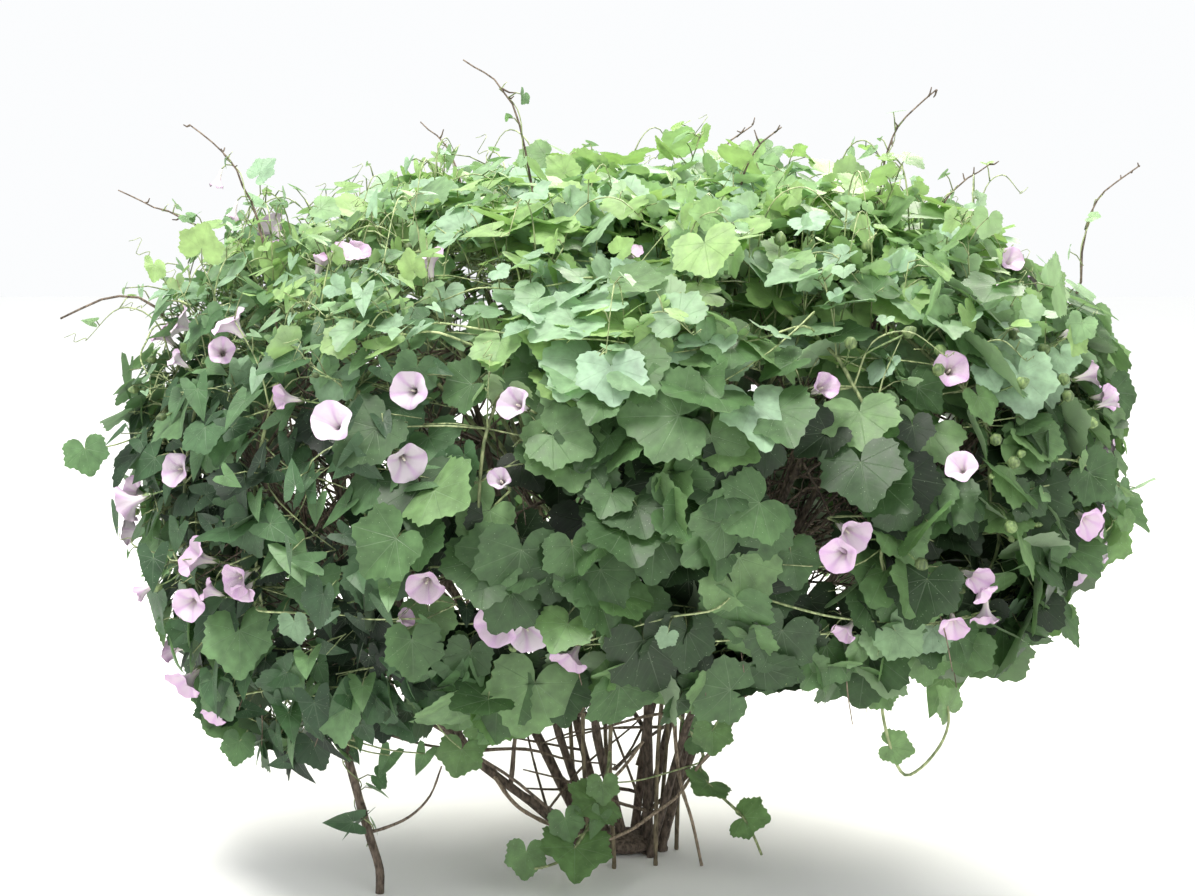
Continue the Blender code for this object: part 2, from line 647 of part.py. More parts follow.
def build():
    for old in list(bpy.data.objects):
        bpy.data.objects.remove(old)
    home = bpy.data.collections.new("morning_glory_vine")
    bpy.context.scene.collection.children.link(home)
    bark = material("bark", (0.085, 0.062, 0.045), 0.85)
    lobed = material("lobed_leaf", (0.075, 0.165, 0.075), 0.55)
    arrow = material("arrow_leaf", (0.055, 0.135, 0.085), 0.55)
    petal = material("petal", (0.74, 0.58, 0.72), 0.5)

    wood, climbers, blooms, leaves = layout()
    crown_of_roots = bmesh.new()
    middle = (ROOT_CROWN_LOW + ROOT_CROWN_HIGH) / 2
    bmesh.ops.create_cone(crown_of_roots, cap_ends=True, segments=10, radius1=ROOT_CROWN_RADIUS,
                          radius2=ROOT_CROWN_RADIUS * 0.8, depth=ROOT_CROWN_HIGH - ROOT_CROWN_LOW,
                          matrix=Matrix.Translation((-0.002, 0.002, middle)) @ Matrix.Diagonal((1.25, 0.85, 1, 1)))
    base = bpy.data.meshes.new("root_crown")
    crown_of_roots.to_mesh(base)
    crown_of_roots.free()
    shrub = union("shrub", [scene_object("root_crown", base, home)] + [tube(*rod, home) for rod in wood], home)
    shrub.data.materials.append(bark)

    for own, kind, rods, _routes in climbers:
        pieces = [tube(*rod, home) for rod in rods]
        pieces += [tube(stalk, STALK_RADIUS, STALK_RADIUS, 4, home) for _n, o, stalk, _s in blooms if o == own]
        for owner, leaf_kind, spot, length in leaves:
            if owner != own:
                continue
            work = blade(leaf_kind, spot, length, BLADE_THICK)
            mesh = bpy.data.meshes.new("leaf")
            work.to_mesh(mesh)
            work.free()
            pieces.append(scene_object("leaf", mesh, home))
        vine = union(own, pieces, home)
        vine.data.materials.append(lobed if kind == "lobed" else arrow)

    for name, _own, _stalk, spot in blooms:
        mesh = bloom_mesh(name, home)
        mesh.name = name
        mesh.materials.append(petal)
        mesh.shade_smooth()
        mesh.set_sharp_from_angle(angle=math.radians(50))
        scene_object(name, mesh, home).matrix_world = spot
    print("leaves", len(leaves), "blooms", len(blooms), "rods", len(wood),
          "triangles", sum(len(f.vertices) - 2 for o in home.objects for f in o.data.polygons))


build()
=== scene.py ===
"""Morning glory vine: the looks of the leafy climbers, their flowers and the shrub that holds them up.

Metres, +Z up, front is -Y. Angles around the plant are degrees from the front, growing to the right.
"""
import math
import random

import bmesh
import bpy
import numpy as np
from mathutils import Matrix, Vector
from mathutils.bvhtree import BVHTree


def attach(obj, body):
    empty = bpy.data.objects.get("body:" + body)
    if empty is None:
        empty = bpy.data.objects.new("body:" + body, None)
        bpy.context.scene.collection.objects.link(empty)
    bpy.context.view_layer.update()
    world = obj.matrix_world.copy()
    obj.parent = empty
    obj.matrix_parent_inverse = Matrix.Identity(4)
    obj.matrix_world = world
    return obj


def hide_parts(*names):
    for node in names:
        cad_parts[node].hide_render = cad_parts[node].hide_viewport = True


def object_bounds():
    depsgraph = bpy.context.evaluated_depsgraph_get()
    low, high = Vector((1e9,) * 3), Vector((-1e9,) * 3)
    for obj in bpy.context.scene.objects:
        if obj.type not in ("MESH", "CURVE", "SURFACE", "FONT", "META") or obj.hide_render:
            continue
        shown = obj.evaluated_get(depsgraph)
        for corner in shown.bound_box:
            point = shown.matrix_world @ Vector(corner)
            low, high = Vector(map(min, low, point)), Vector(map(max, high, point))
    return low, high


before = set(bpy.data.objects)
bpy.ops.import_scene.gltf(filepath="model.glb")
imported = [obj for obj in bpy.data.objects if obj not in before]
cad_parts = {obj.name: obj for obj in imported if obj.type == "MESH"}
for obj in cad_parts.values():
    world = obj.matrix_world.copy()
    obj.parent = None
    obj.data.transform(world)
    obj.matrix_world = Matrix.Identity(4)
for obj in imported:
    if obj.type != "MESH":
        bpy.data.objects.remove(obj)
cad_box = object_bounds()

# Floor, light and camera: a white studio, soft light from above and the front left,
# and a long lens a little above the plant's middle, as in the photograph.
LOOK_AT = Vector((-0.032, 0.0, 0.505))
CAMERA_AWAY = 3.0
CAMERA_UP = math.radians(10)
CAMERA_LENS = 75.3
FLOOR_REACH = 6


def new_paint(name):
    """A new material with its node tree and its shader."""
    paint = bpy.data.materials.new(name)
    paint.use_nodes = True
    return paint, paint.node_tree, paint.node_tree.nodes["Principled BSDF"]


def node(tree, kind, **settings):
    """A new shader node with its settings."""
    made = tree.nodes.new(kind)
    for key, value in settings.items():
        setattr(made, key, value)
    return made


floor_mesh = bpy.data.meshes.new("floor")
floor_corners = [(x * FLOOR_REACH, y * FLOOR_REACH, 0) for x, y in ((-1, -1), (1, -1), (1, 1), (-1, 1))]
floor_mesh.from_pydata(floor_corners, [], [(0, 1, 2, 3)])
floor = bpy.data.objects.new("floor", floor_mesh)
bpy.context.scene.collection.objects.link(floor)
floor_paint, _tree, floor_shader = new_paint("floor_paint")
floor_shader.inputs["Base Color"].default_value = (0.93, 0.93, 0.92, 1)
floor_shader.inputs["Roughness"].default_value = 0.9
floor_mesh.materials.append(floor_paint)

# Grey steps of the sky from straight down (0) to straight up (1), and how bright each is
SKY = ((0.0, 0.25), (0.44, 0.66), (0.505, 0.66), (0.54, 0.34), (0.75, 0.56), (1.0, 0.90))
SKY_STRENGTH = 1.5
world = bpy.data.worlds.new("sky")
bpy.context.scene.world = world
world.use_nodes = True
sky = world.node_tree
background = sky.nodes["Background"]
background.inputs["Strength"].default_value = SKY_STRENGTH
sky_way = node(sky, "ShaderNodeTexCoord")
sky_height = node(sky, "ShaderNodeSeparateXYZ")
sky_share = node(sky, "ShaderNodeMapRange")
sky_share.inputs["From Min"].default_value = -1
sky_ramp = node(sky, "ShaderNodeValToRGB")
sky_ramp.color_ramp.elements[1].position = SKY[1][0]
for _ in SKY[2:]:
    sky_ramp.color_ramp.elements.new(1.0)
for element, (high, bright) in zip(sky_ramp.color_ramp.elements, SKY):
    element.position = high
    element.color = (bright * 0.98, bright * 0.99, bright, 1)
sky.links.new(sky_way.outputs["Generated"], sky_height.inputs[0])
sky.links.new(sky_height.outputs["Z"], sky_share.inputs["Value"])
sky.links.new(sky_share.outputs["Result"], sky_ramp.inputs["Fac"])
sky.links.new(sky_ramp.outputs["Color"], background.inputs["Color"])


def lamp(name, place, size, power, colour):
    """A square lamp at the place, aimed at the middle of the plant."""
    light = bpy.data.lights.new(name, "AREA")
    light.size = size
    light.energy = power
    light.color = colour
    holder = bpy.data.objects.new(name, light)
    bpy.context.scene.collection.objects.link(holder)
    holder.location = place
    holder.rotation_euler = (LOOK_AT - Vector(place)).to_track_quat("-Z", "Y").to_euler()


lamp("sky_light", (-0.9, -0.9, 3.4), 1.1, 128, (1.0, 0.985, 0.93))
lamp("front_fill", (1.8, -3.0, 1.7), 2.0, 30, (1.0, 1.0, 0.97))
lamp("back_light", (1.0, 2.4, 2.8), 1.3, 130, (1.0, 0.98, 0.88))
bpy.context.scene.view_settings.view_transform = "Standard"

camera = bpy.data.objects.new("camera", bpy.data.cameras.new("camera"))
bpy.context.scene.collection.objects.link(camera)
camera.location = LOOK_AT + Vector((0, -math.cos(CAMERA_UP), math.sin(CAMERA_UP))) * CAMERA_AWAY
camera.rotation_euler = (LOOK_AT - camera.location).to_track_quat("-Z", "Y").to_euler()
camera.data.lens = CAMERA_LENS
bpy.context.scene.camera = camera

# How the plant grows: the shape of the crown and the routes of its stems, stalks and big leaves.
# It is the same rule, with the same seed, as the solids follow, so every fine piece sits on its own solid.
# It makes no piece itself: the sections after it dress the routes that it finds.

# The leafy crown is a barrel with a flat top and an uneven hem
CROWN_WIDE = 0.585
CROWN_DEEP = 0.410
CROWN_TOP = 0.790
CROWN_MIDDLE = 0.490
HEM_FRONT = 0.330
HEM_LEFT_DROP = 0.150
HEM_LEFT = (297, 62)
LOWER_TAPER = 0.20
TOP_FALL_TO_FRONT = 0.045
STEM_DEPTH_IN_CROWN = 0.035

# The wood's thin parts
TWIG_RADIUS = 0.0020
WHIP_RADIUS = 0.0021

# The climbers' stems: each foot stands on a ring around the wood and its stem forks on a wider ring
VINE_RADIUS = 0.0026
VINE_FOOT_RING = 0.066
FORK_HEIGHT = 0.430
FORK_RING = 0.120
STALK_RADIUS = 0.0017

# The solids' leaves: the way between two on a stem, and the length of each kind
LEAF_STEP = 0.130
LOBED_LENGTH = 0.134
ARROW_LENGTH = 0.116

# The large flowers
BLOOM_WIDE = 0.050
BLOOM_LONG = 0.042
BLOOM_STEPS = 8

# The gaps under a flower and at a twig's end, the room that each rod keeps, the reach of a weld, the seed
GAP = 0.0003
PROP_GAP = 0.0005
CLEAR = 0.0014
WELD = 0.00005
SEED = 41

# Each stem of the shrub: foot x and y, a point it passes, where it ends, radius
STEMS = (
    ((-0.052, -0.010), (-0.198, -0.050, 0.155), (-0.430, -0.110, 0.500), 0.0066),
    ((-0.027, -0.030), (-0.182, -0.100, 0.156), (-0.330, -0.220, 0.520), 0.0060),
    ((-0.043, 0.013), (-0.133, 0.030, 0.190), (-0.380, 0.150, 0.580), 0.0078),
    ((-0.033, -0.014), (-0.085, -0.020, 0.178), (-0.190, -0.090, 0.640), 0.0062),
    ((-0.020, 0.008), (-0.061, 0.040, 0.170), (-0.150, 0.220, 0.620), 0.0064),
    ((0.000, 0.000), (-0.035, -0.030, 0.175), (-0.040, -0.230, 0.610), 0.0070),
    ((0.029, -0.008), (0.032, 0.000, 0.216), (0.090, 0.020, 0.670), 0.0074),
    ((0.014, 0.024), (0.035, 0.070, 0.200), (0.080, 0.270, 0.600), 0.0060),
    ((0.048, 0.000), (0.086, -0.020, 0.167), (0.290, -0.100, 0.610), 0.0070),
    ((0.038, 0.020), (0.130, 0.050, 0.200), (0.440, 0.060, 0.520), 0.0066),
    ((0.034, -0.024), (0.080, -0.080, 0.200), (0.190, -0.270, 0.540), 0.0058),
    ((0.022, 0.030), (0.080, 0.100, 0.200), (0.290, 0.210, 0.580), 0.0062),
)
# The stem that leans out to the ground at the front left, from its joint with the first stem down to its foot
LEANING_JOINT = 6
LEANING = (
    (-0.384, -0.128, 0.298), (-0.349, -0.136, 0.243), (-0.327, -0.140, 0.175), (-0.308, -0.144, 0.100),
    (-0.288, -0.150, 0.030), (-0.288, -0.150, 0.000),
)
LEANING_RADIUS = 0.0052
# Bare whips: number of the stem that they grow from, then the way out of the crown to the tip
WHIPS = (
    (5, ((-0.099, -0.060, 0.770), (-0.121, -0.056, 0.892), (-0.150, -0.052, 0.943), (-0.186, -0.050, 0.966))),
    (0, ((-0.416, -0.050, 0.734), (-0.443, -0.050, 0.823), (-0.466, -0.050, 0.862), (-0.502, -0.050, 0.892))),
    (2, ((-0.474, 0.050, 0.728), (-0.521, 0.050, 0.772), (-0.563, 0.050, 0.790), (-0.607, 0.050, 0.810))),
    (8, ((0.293, -0.030, 0.790), (0.306, -0.030, 0.862), (0.325, -0.030, 0.899), (0.361, -0.030, 0.932))),
    (9, ((0.524, 0.000, 0.660), (0.544, 0.000, 0.767), (0.566, 0.000, 0.812), (0.606, 0.000, 0.842))),
    (11, ((0.374, 0.100, 0.764), (0.407, 0.100, 0.810), (0.445, 0.100, 0.838))),
    (6, ((0.132, 0.000, 0.800), (0.152, 0.000, 0.858), (0.184, 0.000, 0.888))),
    (0, ((-0.520, -0.050, 0.650), (-0.589, -0.050, 0.693), (-0.660, -0.050, 0.668))),
    (4, ((-0.200, 0.250, 0.780), (-0.226, 0.272, 0.850), (-0.262, 0.290, 0.880))),
    (7, ((0.110, 0.290, 0.770), (0.130, 0.310, 0.840), (0.170, 0.330, 0.875))),
)
# Each climber: angle of its foot, angles of its forks down the outside, leaf kind
CLIMBERS = (
    (350, (342, 358, 14), "lobed"), (35, (31, 47, 63), "lobed"), (92, (79, 94, 110), "lobed"),
    (140, (127, 144, 161), "lobed"), (195, (178, 195, 212), "arrow"), (240, (229, 245, 260), "arrow"),
    (318, (276, 292, 308, 325), "arrow"),
)
# Low and hanging shoots, by the number of the climber that they grow from
EXTRA_ROUTES = {
    1: (((0.342, -0.260, 0.405), (0.307, -0.270, 0.345), (0.283, -0.280, 0.293), (0.288, -0.280, 0.236),
         (0.310, -0.280, 0.185), (0.345, -0.270, 0.209), (0.360, -0.260, 0.242), (0.356, -0.240, 0.272)),
        ((0.078, -0.070, 0.150), (0.109, -0.100, 0.120), (0.137, -0.140, 0.090), (0.160, -0.180, 0.060))),
    0: (((-0.020, -0.085, 0.130), (-0.041, -0.130, 0.080), (-0.070, -0.165, 0.048),
         (-0.105, -0.185, 0.042)),),
}
EXTRA_LEAF_SHARE = 0.52
# Where the blooms show on the crown: angle, way down from the top (0) to the hem (1)
BLOOM_SPOTS = (
    (40, 0.40), (66, 0.30), (91, 0.34), (81, 0.57), (75, 0.84), (67, 0.91), (23, 0.62), (22, 0.41),
    (336, 0.43), (347, 0.43), (338, 0.53), (345, 0.55), (300, 0.59), (304, 0.67), (313, 0.69),
    (337, 0.73), (344, 0.81),
    (348, 0.87), (352, 0.93), (272, 0.43), (288, 0.38), (299, 0.16), (104, 0.20), (2, 0.12),
    (118, 0.45), (150, 0.55), (172, 0.40), (205, 0.62), (232, 0.42), (250, 0.66),
)


def around(angle, radius):
    """A point on the ground, at the angle and the radius from the plant's middle."""
    turn = math.radians(angle)
    return Vector((radius * math.sin(turn), -radius * math.cos(turn), 0))


def near(angle, centre, width):
    """1 at the centre angle, falling to 0 a width away."""
    off = abs((angle - centre + 180) % 360 - 180)
    return max(0.0, 1 - off / width) ** 1.5


def crown(angle, down, inward=0.0):
    """A point of the crown's surface, down from 0 at the middle of the top to 1 at the hem, moved inward."""
    hem = HEM_FRONT - HEM_LEFT_DROP * near(angle, *HEM_LEFT)
    tilt = math.radians(90 - 150 * down)
    if tilt >= 0:
        wide = math.cos(tilt) ** 0.6
        high = CROWN_MIDDLE + (CROWN_TOP - CROWN_MIDDLE) * math.sin(tilt) ** 0.8
    else:
        part = -tilt / math.radians(60)
        wide = 1 - LOWER_TAPER * part ** 2
        high = CROWN_MIDDLE - (CROWN_MIDDLE - hem) * math.sin(-tilt) / math.sin(math.radians(60))
    turn = math.radians(angle)
    flat = Vector((CROWN_WIDE * wide * math.sin(turn), -CROWN_DEEP * wide * math.cos(turn), 0))
    if flat.length > 1e-6:
        flat -= flat.normalized() * min(inward * math.cos(tilt * 0.9), flat.length * 0.9)
    rise = max(0.0, math.sin(tilt))
    high -= inward * rise + TOP_FALL_TO_FRONT * wide * math.cos(turn) * rise
    return Vector((flat.x, flat.y, high))


def outward(angle, down):
    """The crown's outside direction at a spot."""
    here = crown(angle, down)
    along = crown(angle, min(1.0, down + 0.03)) - crown(angle, max(0.01, down - 0.03))
    side = crown(angle + 4, down) - crown(angle - 4, down)
    out = side.cross(along).normalized()
    return out if out.dot(here - Vector((0, 0, CROWN_MIDDLE - 0.1))) > 0 else -out


def through(points, steps):
    """A smooth path through the points, with so many pieces between each two."""
    ends = [points[0] * 2 - points[1]] + list(points) + [points[-1] * 2 - points[-2]]
    path = []
    for i in range(1, len(ends) - 2):
        a, b, c, d = ends[i - 1], ends[i], ends[i + 1], ends[i + 2]
        for k in range(steps):
            t = k / steps
            path.append(0.5 * (2 * b + (c - a) * t + (2 * a - 5 * b + 4 * c - d) * t * t
                               + (3 * b - 3 * c + d - a) * t ** 3))
    return path + [points[-1].copy()]


def weld(mesh):
    """The mesh with its doubled points joined and its faces turned outward."""
    work = bmesh.new()
    work.from_mesh(mesh)
    bmesh.ops.remove_doubles(work, verts=work.verts, dist=WELD)
    bmesh.ops.recalc_face_normals(work, faces=work.faces)
    work.to_mesh(mesh)
    work.free()
    return mesh


def tube(path, first, last, sides):
    """The mesh of a round rod along the path, its radius going evenly from the first to the last value."""
    curve = bpy.data.curves.new("rod", "CURVE")
    curve.dimensions = "3D"
    curve.bevel_depth = 1.0
    curve.bevel_resolution = (sides - 4) // 2
    curve.use_fill_caps = True
    spline = curve.splines.new("POLY")
    spline.points.add(len(path) - 1)
    for i, point in enumerate(path):
        spline.points[i].co = (*point, 1)
        spline.points[i].radius = first + (last - first) * i / (len(path) - 1)
    holder = bpy.data.objects.new("rod", curve)
    mesh = bpy.data.meshes.new_from_object(holder)
    bpy.data.objects.remove(holder)
    bpy.data.curves.remove(curve)
    return weld(mesh)


# Half of each leaf outline of the solids, joint to tip, in leaf lengths, and how deep its corner goes in
LOBED_HALF = ((0.15, -0.20), (0.42, -0.08), (0.56, 0.36), (0.28, 0.50), (0.0, 1.0))
ARROW_HALF = ((0.15, -0.26), (0.37, -0.30), (0.31, 0.22), (0.0, 1.0))
JOINT_REACH = 0.007
SOLID_BLADE_THICK = 0.0030


def blade(kind, spot, length):
    """A solid's leaf blade as a bmesh: a fan around its base, folded a little along the midrib."""
    half = LOBED_HALF if kind == "lobed" else ARROW_HALF
    loop = [(x * length, y * length) for x, y in half]
    loop += [(-x, y) for x, y in reversed(loop[:-1])] + [(0.0, -JOINT_REACH)]
    work = bmesh.new()
    verts = []
    for x, y in loop:
        lift = JOINT_REACH + 0.16 * abs(x) - 0.10 * max(0.0, y) ** 2 / length
        if (x, y) == loop[-1]:
            lift = 0.0
        verts.append(work.verts.new(spot @ Vector((x, y + JOINT_REACH, lift))))
    base = work.verts.new(spot @ Vector((0, JOINT_REACH, JOINT_REACH)))
    for i, vert in enumerate(verts):
        work.faces.new((base, verts[i - 1], vert))
    bmesh.ops.recalc_face_normals(work, faces=work.faces)
    bmesh.ops.solidify(work, geom=work.faces[:], thickness=SOLID_BLADE_THICK)
    bmesh.ops.recalc_face_normals(work, faces=work.faces)
    return work


def box_of(points):
    """The lowest and the highest corner of the box around the points."""
    return [min(p[i] for p in points) for i in range(3)], [max(p[i] for p in points) for i in range(3)]


def boxes_meet(first, second):
    (low, high), (low2, high2) = first, second
    return all(low[i] <= high2[i] and low2[i] <= high[i] for i in range(3))


class Placed:
    """Everything already in place, so that nothing new crosses it."""

    def __init__(self):
        self.trees = []

    def add(self, tree, box, owner):
        self.trees.append((tree, box, owner))

    def hits(self, tree, box, skip=()):
        """Whether the tree crosses anything but what the owners in skip have."""
        return any(boxes_meet(box, its_box) and tree.overlap(other)
                   for other, its_box, owner in self.trees if owner not in skip)


def tree_of(shape):
    """The search tree and the box of a mesh or bmesh."""
    if isinstance(shape, bmesh.types.BMesh):
        points = [v.co.copy() for v in shape.verts]
        faces = [[v.index for v in f.verts] for f in shape.faces]
    else:
        points = [v.co.copy() for v in shape.vertices]
        faces = [list(f.vertices) for f in shape.polygons]
    return BVHTree.FromPolygons(points, faces), box_of(points)


def rod_tree(path, first, last, sides, extra):
    """The search tree and the box of a rod with some extra room around it."""
    mesh = tube(path, first + extra, last + extra, sides)
    tree, box = tree_of(mesh)
    bpy.data.meshes.remove(mesh)
    return tree, box


def bloom_mesh():
    """A solid's funnel flower: a turned profile with a thin limb, its base at the origin and its mouth up."""
    rim = BLOOM_WIDE / 2
    profile = ((0, 0.56), (rim - 0.0006, 1.0), (rim, 0.975), (0.20 * BLOOM_WIDE, 0.62), (0.0024, 0.0),
               (0, 0.0))
    mesh = bpy.data.meshes.new("bloom")
    points = [(x, 0, z * BLOOM_LONG) for x, z in profile]
    mesh.from_pydata(points, [(i, i + 1) for i in range(len(points) - 1)], [])
    holder = bpy.data.objects.new("bloom", mesh)
    bpy.context.scene.collection.objects.link(holder)
    turn = holder.modifiers.new("turn", "SCREW")
    turn.steps = BLOOM_STEPS
    turn.render_steps = BLOOM_STEPS
    turn.use_merge_vertices = True
    turn.merge_threshold = WELD
    bpy.context.view_layer.update()
    graph = bpy.context.evaluated_depsgraph_get()
    made = bpy.data.meshes.new_from_object(holder.evaluated_get(graph))
    bpy.data.objects.remove(holder)
    return weld(made)


def aim(direction, spin=0.0):
    """A turn that takes +Z to the direction."""
    return direction.to_track_quat("Z", "Y").to_matrix().to_4x4() @ Matrix.Rotation(spin, 4, "Z")


def stem_path(foot, knee, end):
    """One stem of the shrub: straight up out of the ground, then out through the knee to its end."""
    low = Vector((foot[0], foot[1], 0))
    up = Vector((foot[0], foot[1], 0.012))
    knee = Vector(knee)
    end = Vector(end)
    part = low.lerp(knee, 0.42)
    return [low] + through([up, Vector((part.x, part.y, knee.z * 0.46)), knee, knee.lerp(end, 0.5), end], 2)


def main_wood():
    """The shrub's main stems, the leaning stem and the bare whips, as rods still to be placed."""
    rods = []
    paths = []
    for foot, knee, end, radius in STEMS:
        path = stem_path(foot, knee, end)
        paths.append(path)
        rods.append((path, radius, radius * 0.5, 6))
    lean = [paths[0][LEANING_JOINT]] + [Vector(p) for p in LEANING]
    rods.append((through(lean[:-1], 2) + [lean[-1]], LEANING_RADIUS, LEANING_RADIUS, 6))
    for number, way in WHIPS:
        rods.append(([paths[number][-2]] + [Vector(p) for p in way], WHIP_RADIUS, WHIP_RADIUS * 0.6, 4))
    return rods, paths


def trunk_path(foot, rng):
    """The route of one climber's trunk, from its foot on the ground up to its fork."""
    sway = rng.uniform(-6, 6)
    trunk = [around(foot, VINE_FOOT_RING), around(foot, VINE_FOOT_RING) + Vector((0, 0, 0.015))]
    trunk.append(around(foot + sway, VINE_FOOT_RING + 0.006) + Vector((0, 0, 0.15)))
    trunk.append(around(foot - sway, VINE_FOOT_RING + 0.022) + Vector((0, 0, 0.29)))
    trunk.append(around(foot, FORK_RING) + Vector((0, 0, FORK_HEIGHT)))
    return [trunk[0]] + through(trunk[1:], 2)


def branch_path(fork, angle, start, swing, rng):
    """A branch from the fork up to the top of the crown, outward and down to the hem."""
    points = [fork]
    points.append(fork.lerp(crown(angle, start, STEM_DEPTH_IN_CROWN), 0.55) + around(angle, -0.012))
    downs = [start] + [d / 10 for d in range(int(start * 10) + 1, 11)]
    for i, down in enumerate(downs):
        if 0 < i < len(downs) - 1 and i % 2 == 0 and down < 0.35:
            continue
        lean = swing * math.sin(3.1 * down + start * 9) + rng.uniform(-1, 1)
        points.append(crown(angle + lean, down, STEM_DEPTH_IN_CROWN + rng.uniform(-0.006, 0.006)))
    return points


def place_climbers(placed, rng):
    """Clear routes for all climbers: for each its name, its leaf kind, its rods and its branches' routes."""
    climbers = []
    for number, spec in enumerate(CLIMBERS):
        own = "vine_%02d" % (number + 1)
        for attempt in range(60):
            shift = rng.uniform(-2, 2) * (1 + attempt * 0.25)
            trunk = trunk_path(spec[0] + shift, rng)
            tree, box = rod_tree(trunk, VINE_RADIUS * 1.3, VINE_RADIUS, 4, CLEAR)
            if not placed.hits(tree, box):
                break
        rods = [(trunk, VINE_RADIUS * 1.3, VINE_RADIUS, 4)]
        placed.add(tree, box, own)
        routes = []
        for index, angle in enumerate(spec[1]):
            for attempt in range(80):
                start = rng.uniform(0.04, 0.13) if index % 2 == 0 else rng.uniform(0.15, 0.24)
                turned = angle + rng.uniform(-1, 1) * (1 + attempt * 0.12)
                path = branch_path(trunk[-1], turned, start, rng.uniform(-5, 5), rng)
                tree, box = rod_tree(path, VINE_RADIUS, VINE_RADIUS * 0.6, 4, CLEAR)
                if not placed.hits(tree, box, (own,)) and not any(
                        (a - b).length < 0.02 for r in routes for a in r[3:] for b in path[3:]):
                    break
            else:
                continue
            rods.append((path, VINE_RADIUS, VINE_RADIUS * 0.6, 4))
            routes.append(path)
            placed.add(tree, box, own)
        for route in EXTRA_ROUTES.get(number, ()):
            joins = sorted((p for r in routes + [trunk] for p in r[2:-1]),
                           key=lambda p: (p - Vector(route[0])).length)
            for attempt in range(60):
                join = joins[attempt // 12]
                loose = 0.001 * attempt
                moved = [Vector(p) + Vector((rng.uniform(-loose, loose), rng.uniform(-loose, loose), 0))
                         for p in route]
                path = [join] + through(moved, 2)
                tree, box = rod_tree(path, VINE_RADIUS * 0.8, VINE_RADIUS * 0.6, 4, CLEAR)
                if not placed.hits(tree, box, (own,)):
                    break
            else:
                continue
            rods.append((path, VINE_RADIUS * 0.8, VINE_RADIUS * 0.6, 4))
            routes.append([join] * 2 + path[1:])
            placed.add(tree, box, own)
        climbers.append((own, spec[2], rods, routes))
    return climbers


def place_blooms(placed, climbers, rng):
    """A stalk from the nearest stem to each spot where a bloom shows, and the bloom on its end."""
    model = bloom_mesh()
    shape = [v.co.copy() for v in model.vertices]
    faces = [list(f.vertices) for f in model.polygons]
    bpy.data.meshes.remove(model)
    blooms = []
    for angle, down in BLOOM_SPOTS:
        for attempt in range(40):
            loose = 0.25 + attempt * 0.05
            where = angle + rng.uniform(-6, 6) * loose
            level = min(0.95, max(0.08, down + rng.uniform(-0.05, 0.05) * loose))
            lean = Vector((rng.uniform(-0.8, 0.8), rng.uniform(-0.5, 0.3), rng.uniform(-0.45, 0.75)))
            face = (outward(where, level) + lean).normalized()
            mouth = crown(where, level) + outward(where, level) * rng.uniform(0.004, 0.022)
            base = mouth - face * BLOOM_LONG
            options = [(p, own) for own, _kind, _rods, routes in climbers for r in routes for p in r[2:-1]]
            root, own = min(options, key=lambda o: (o[0] - base).length)
            if (root - base).length < 0.016:
                base = base + face * 0.014
            end = base - face * GAP
            stalk = [root, end - face * 0.010, end]
            spot = Matrix.Translation(base) @ aim(face, rng.uniform(0, 6.28))
            grown = Matrix.Diagonal((1.08, 1.08, 1.04, 1))
            points = [spot @ (grown @ (p - Vector((0, 0, 0.0004)))) for p in shape]
            flower = BVHTree.FromPolygons(points, faces)
            tree, box = rod_tree(stalk, STALK_RADIUS, STALK_RADIUS, 4, CLEAR)
            if placed.hits(flower, box_of(points)) or placed.hits(tree, box, (own,)):
                continue
            name = "bloom_%02d" % (len(blooms) + 1)
            placed.add(flower, box_of(points), name)
            placed.add(tree, box, own)
            blooms.append((name, own, stalk, spot))
            break
    return blooms


def leaf_spot(root, along, out, side, turn, lift, rng):
    """The frame of a leaf: x across, y towards the tip, z to its upper side."""
    tip = (Matrix.Rotation(side * turn, 3, out) @ along).normalized()
    tip = (tip + out * lift).normalized()
    across = tip.cross(out).normalized()
    face = across.cross(tip).normalized()
    turned = Matrix((across, tip, face)).transposed().to_4x4()
    return Matrix.Translation(root) @ turned @ Matrix.Rotation(rng.uniform(-0.22, 0.22), 4, "Y")


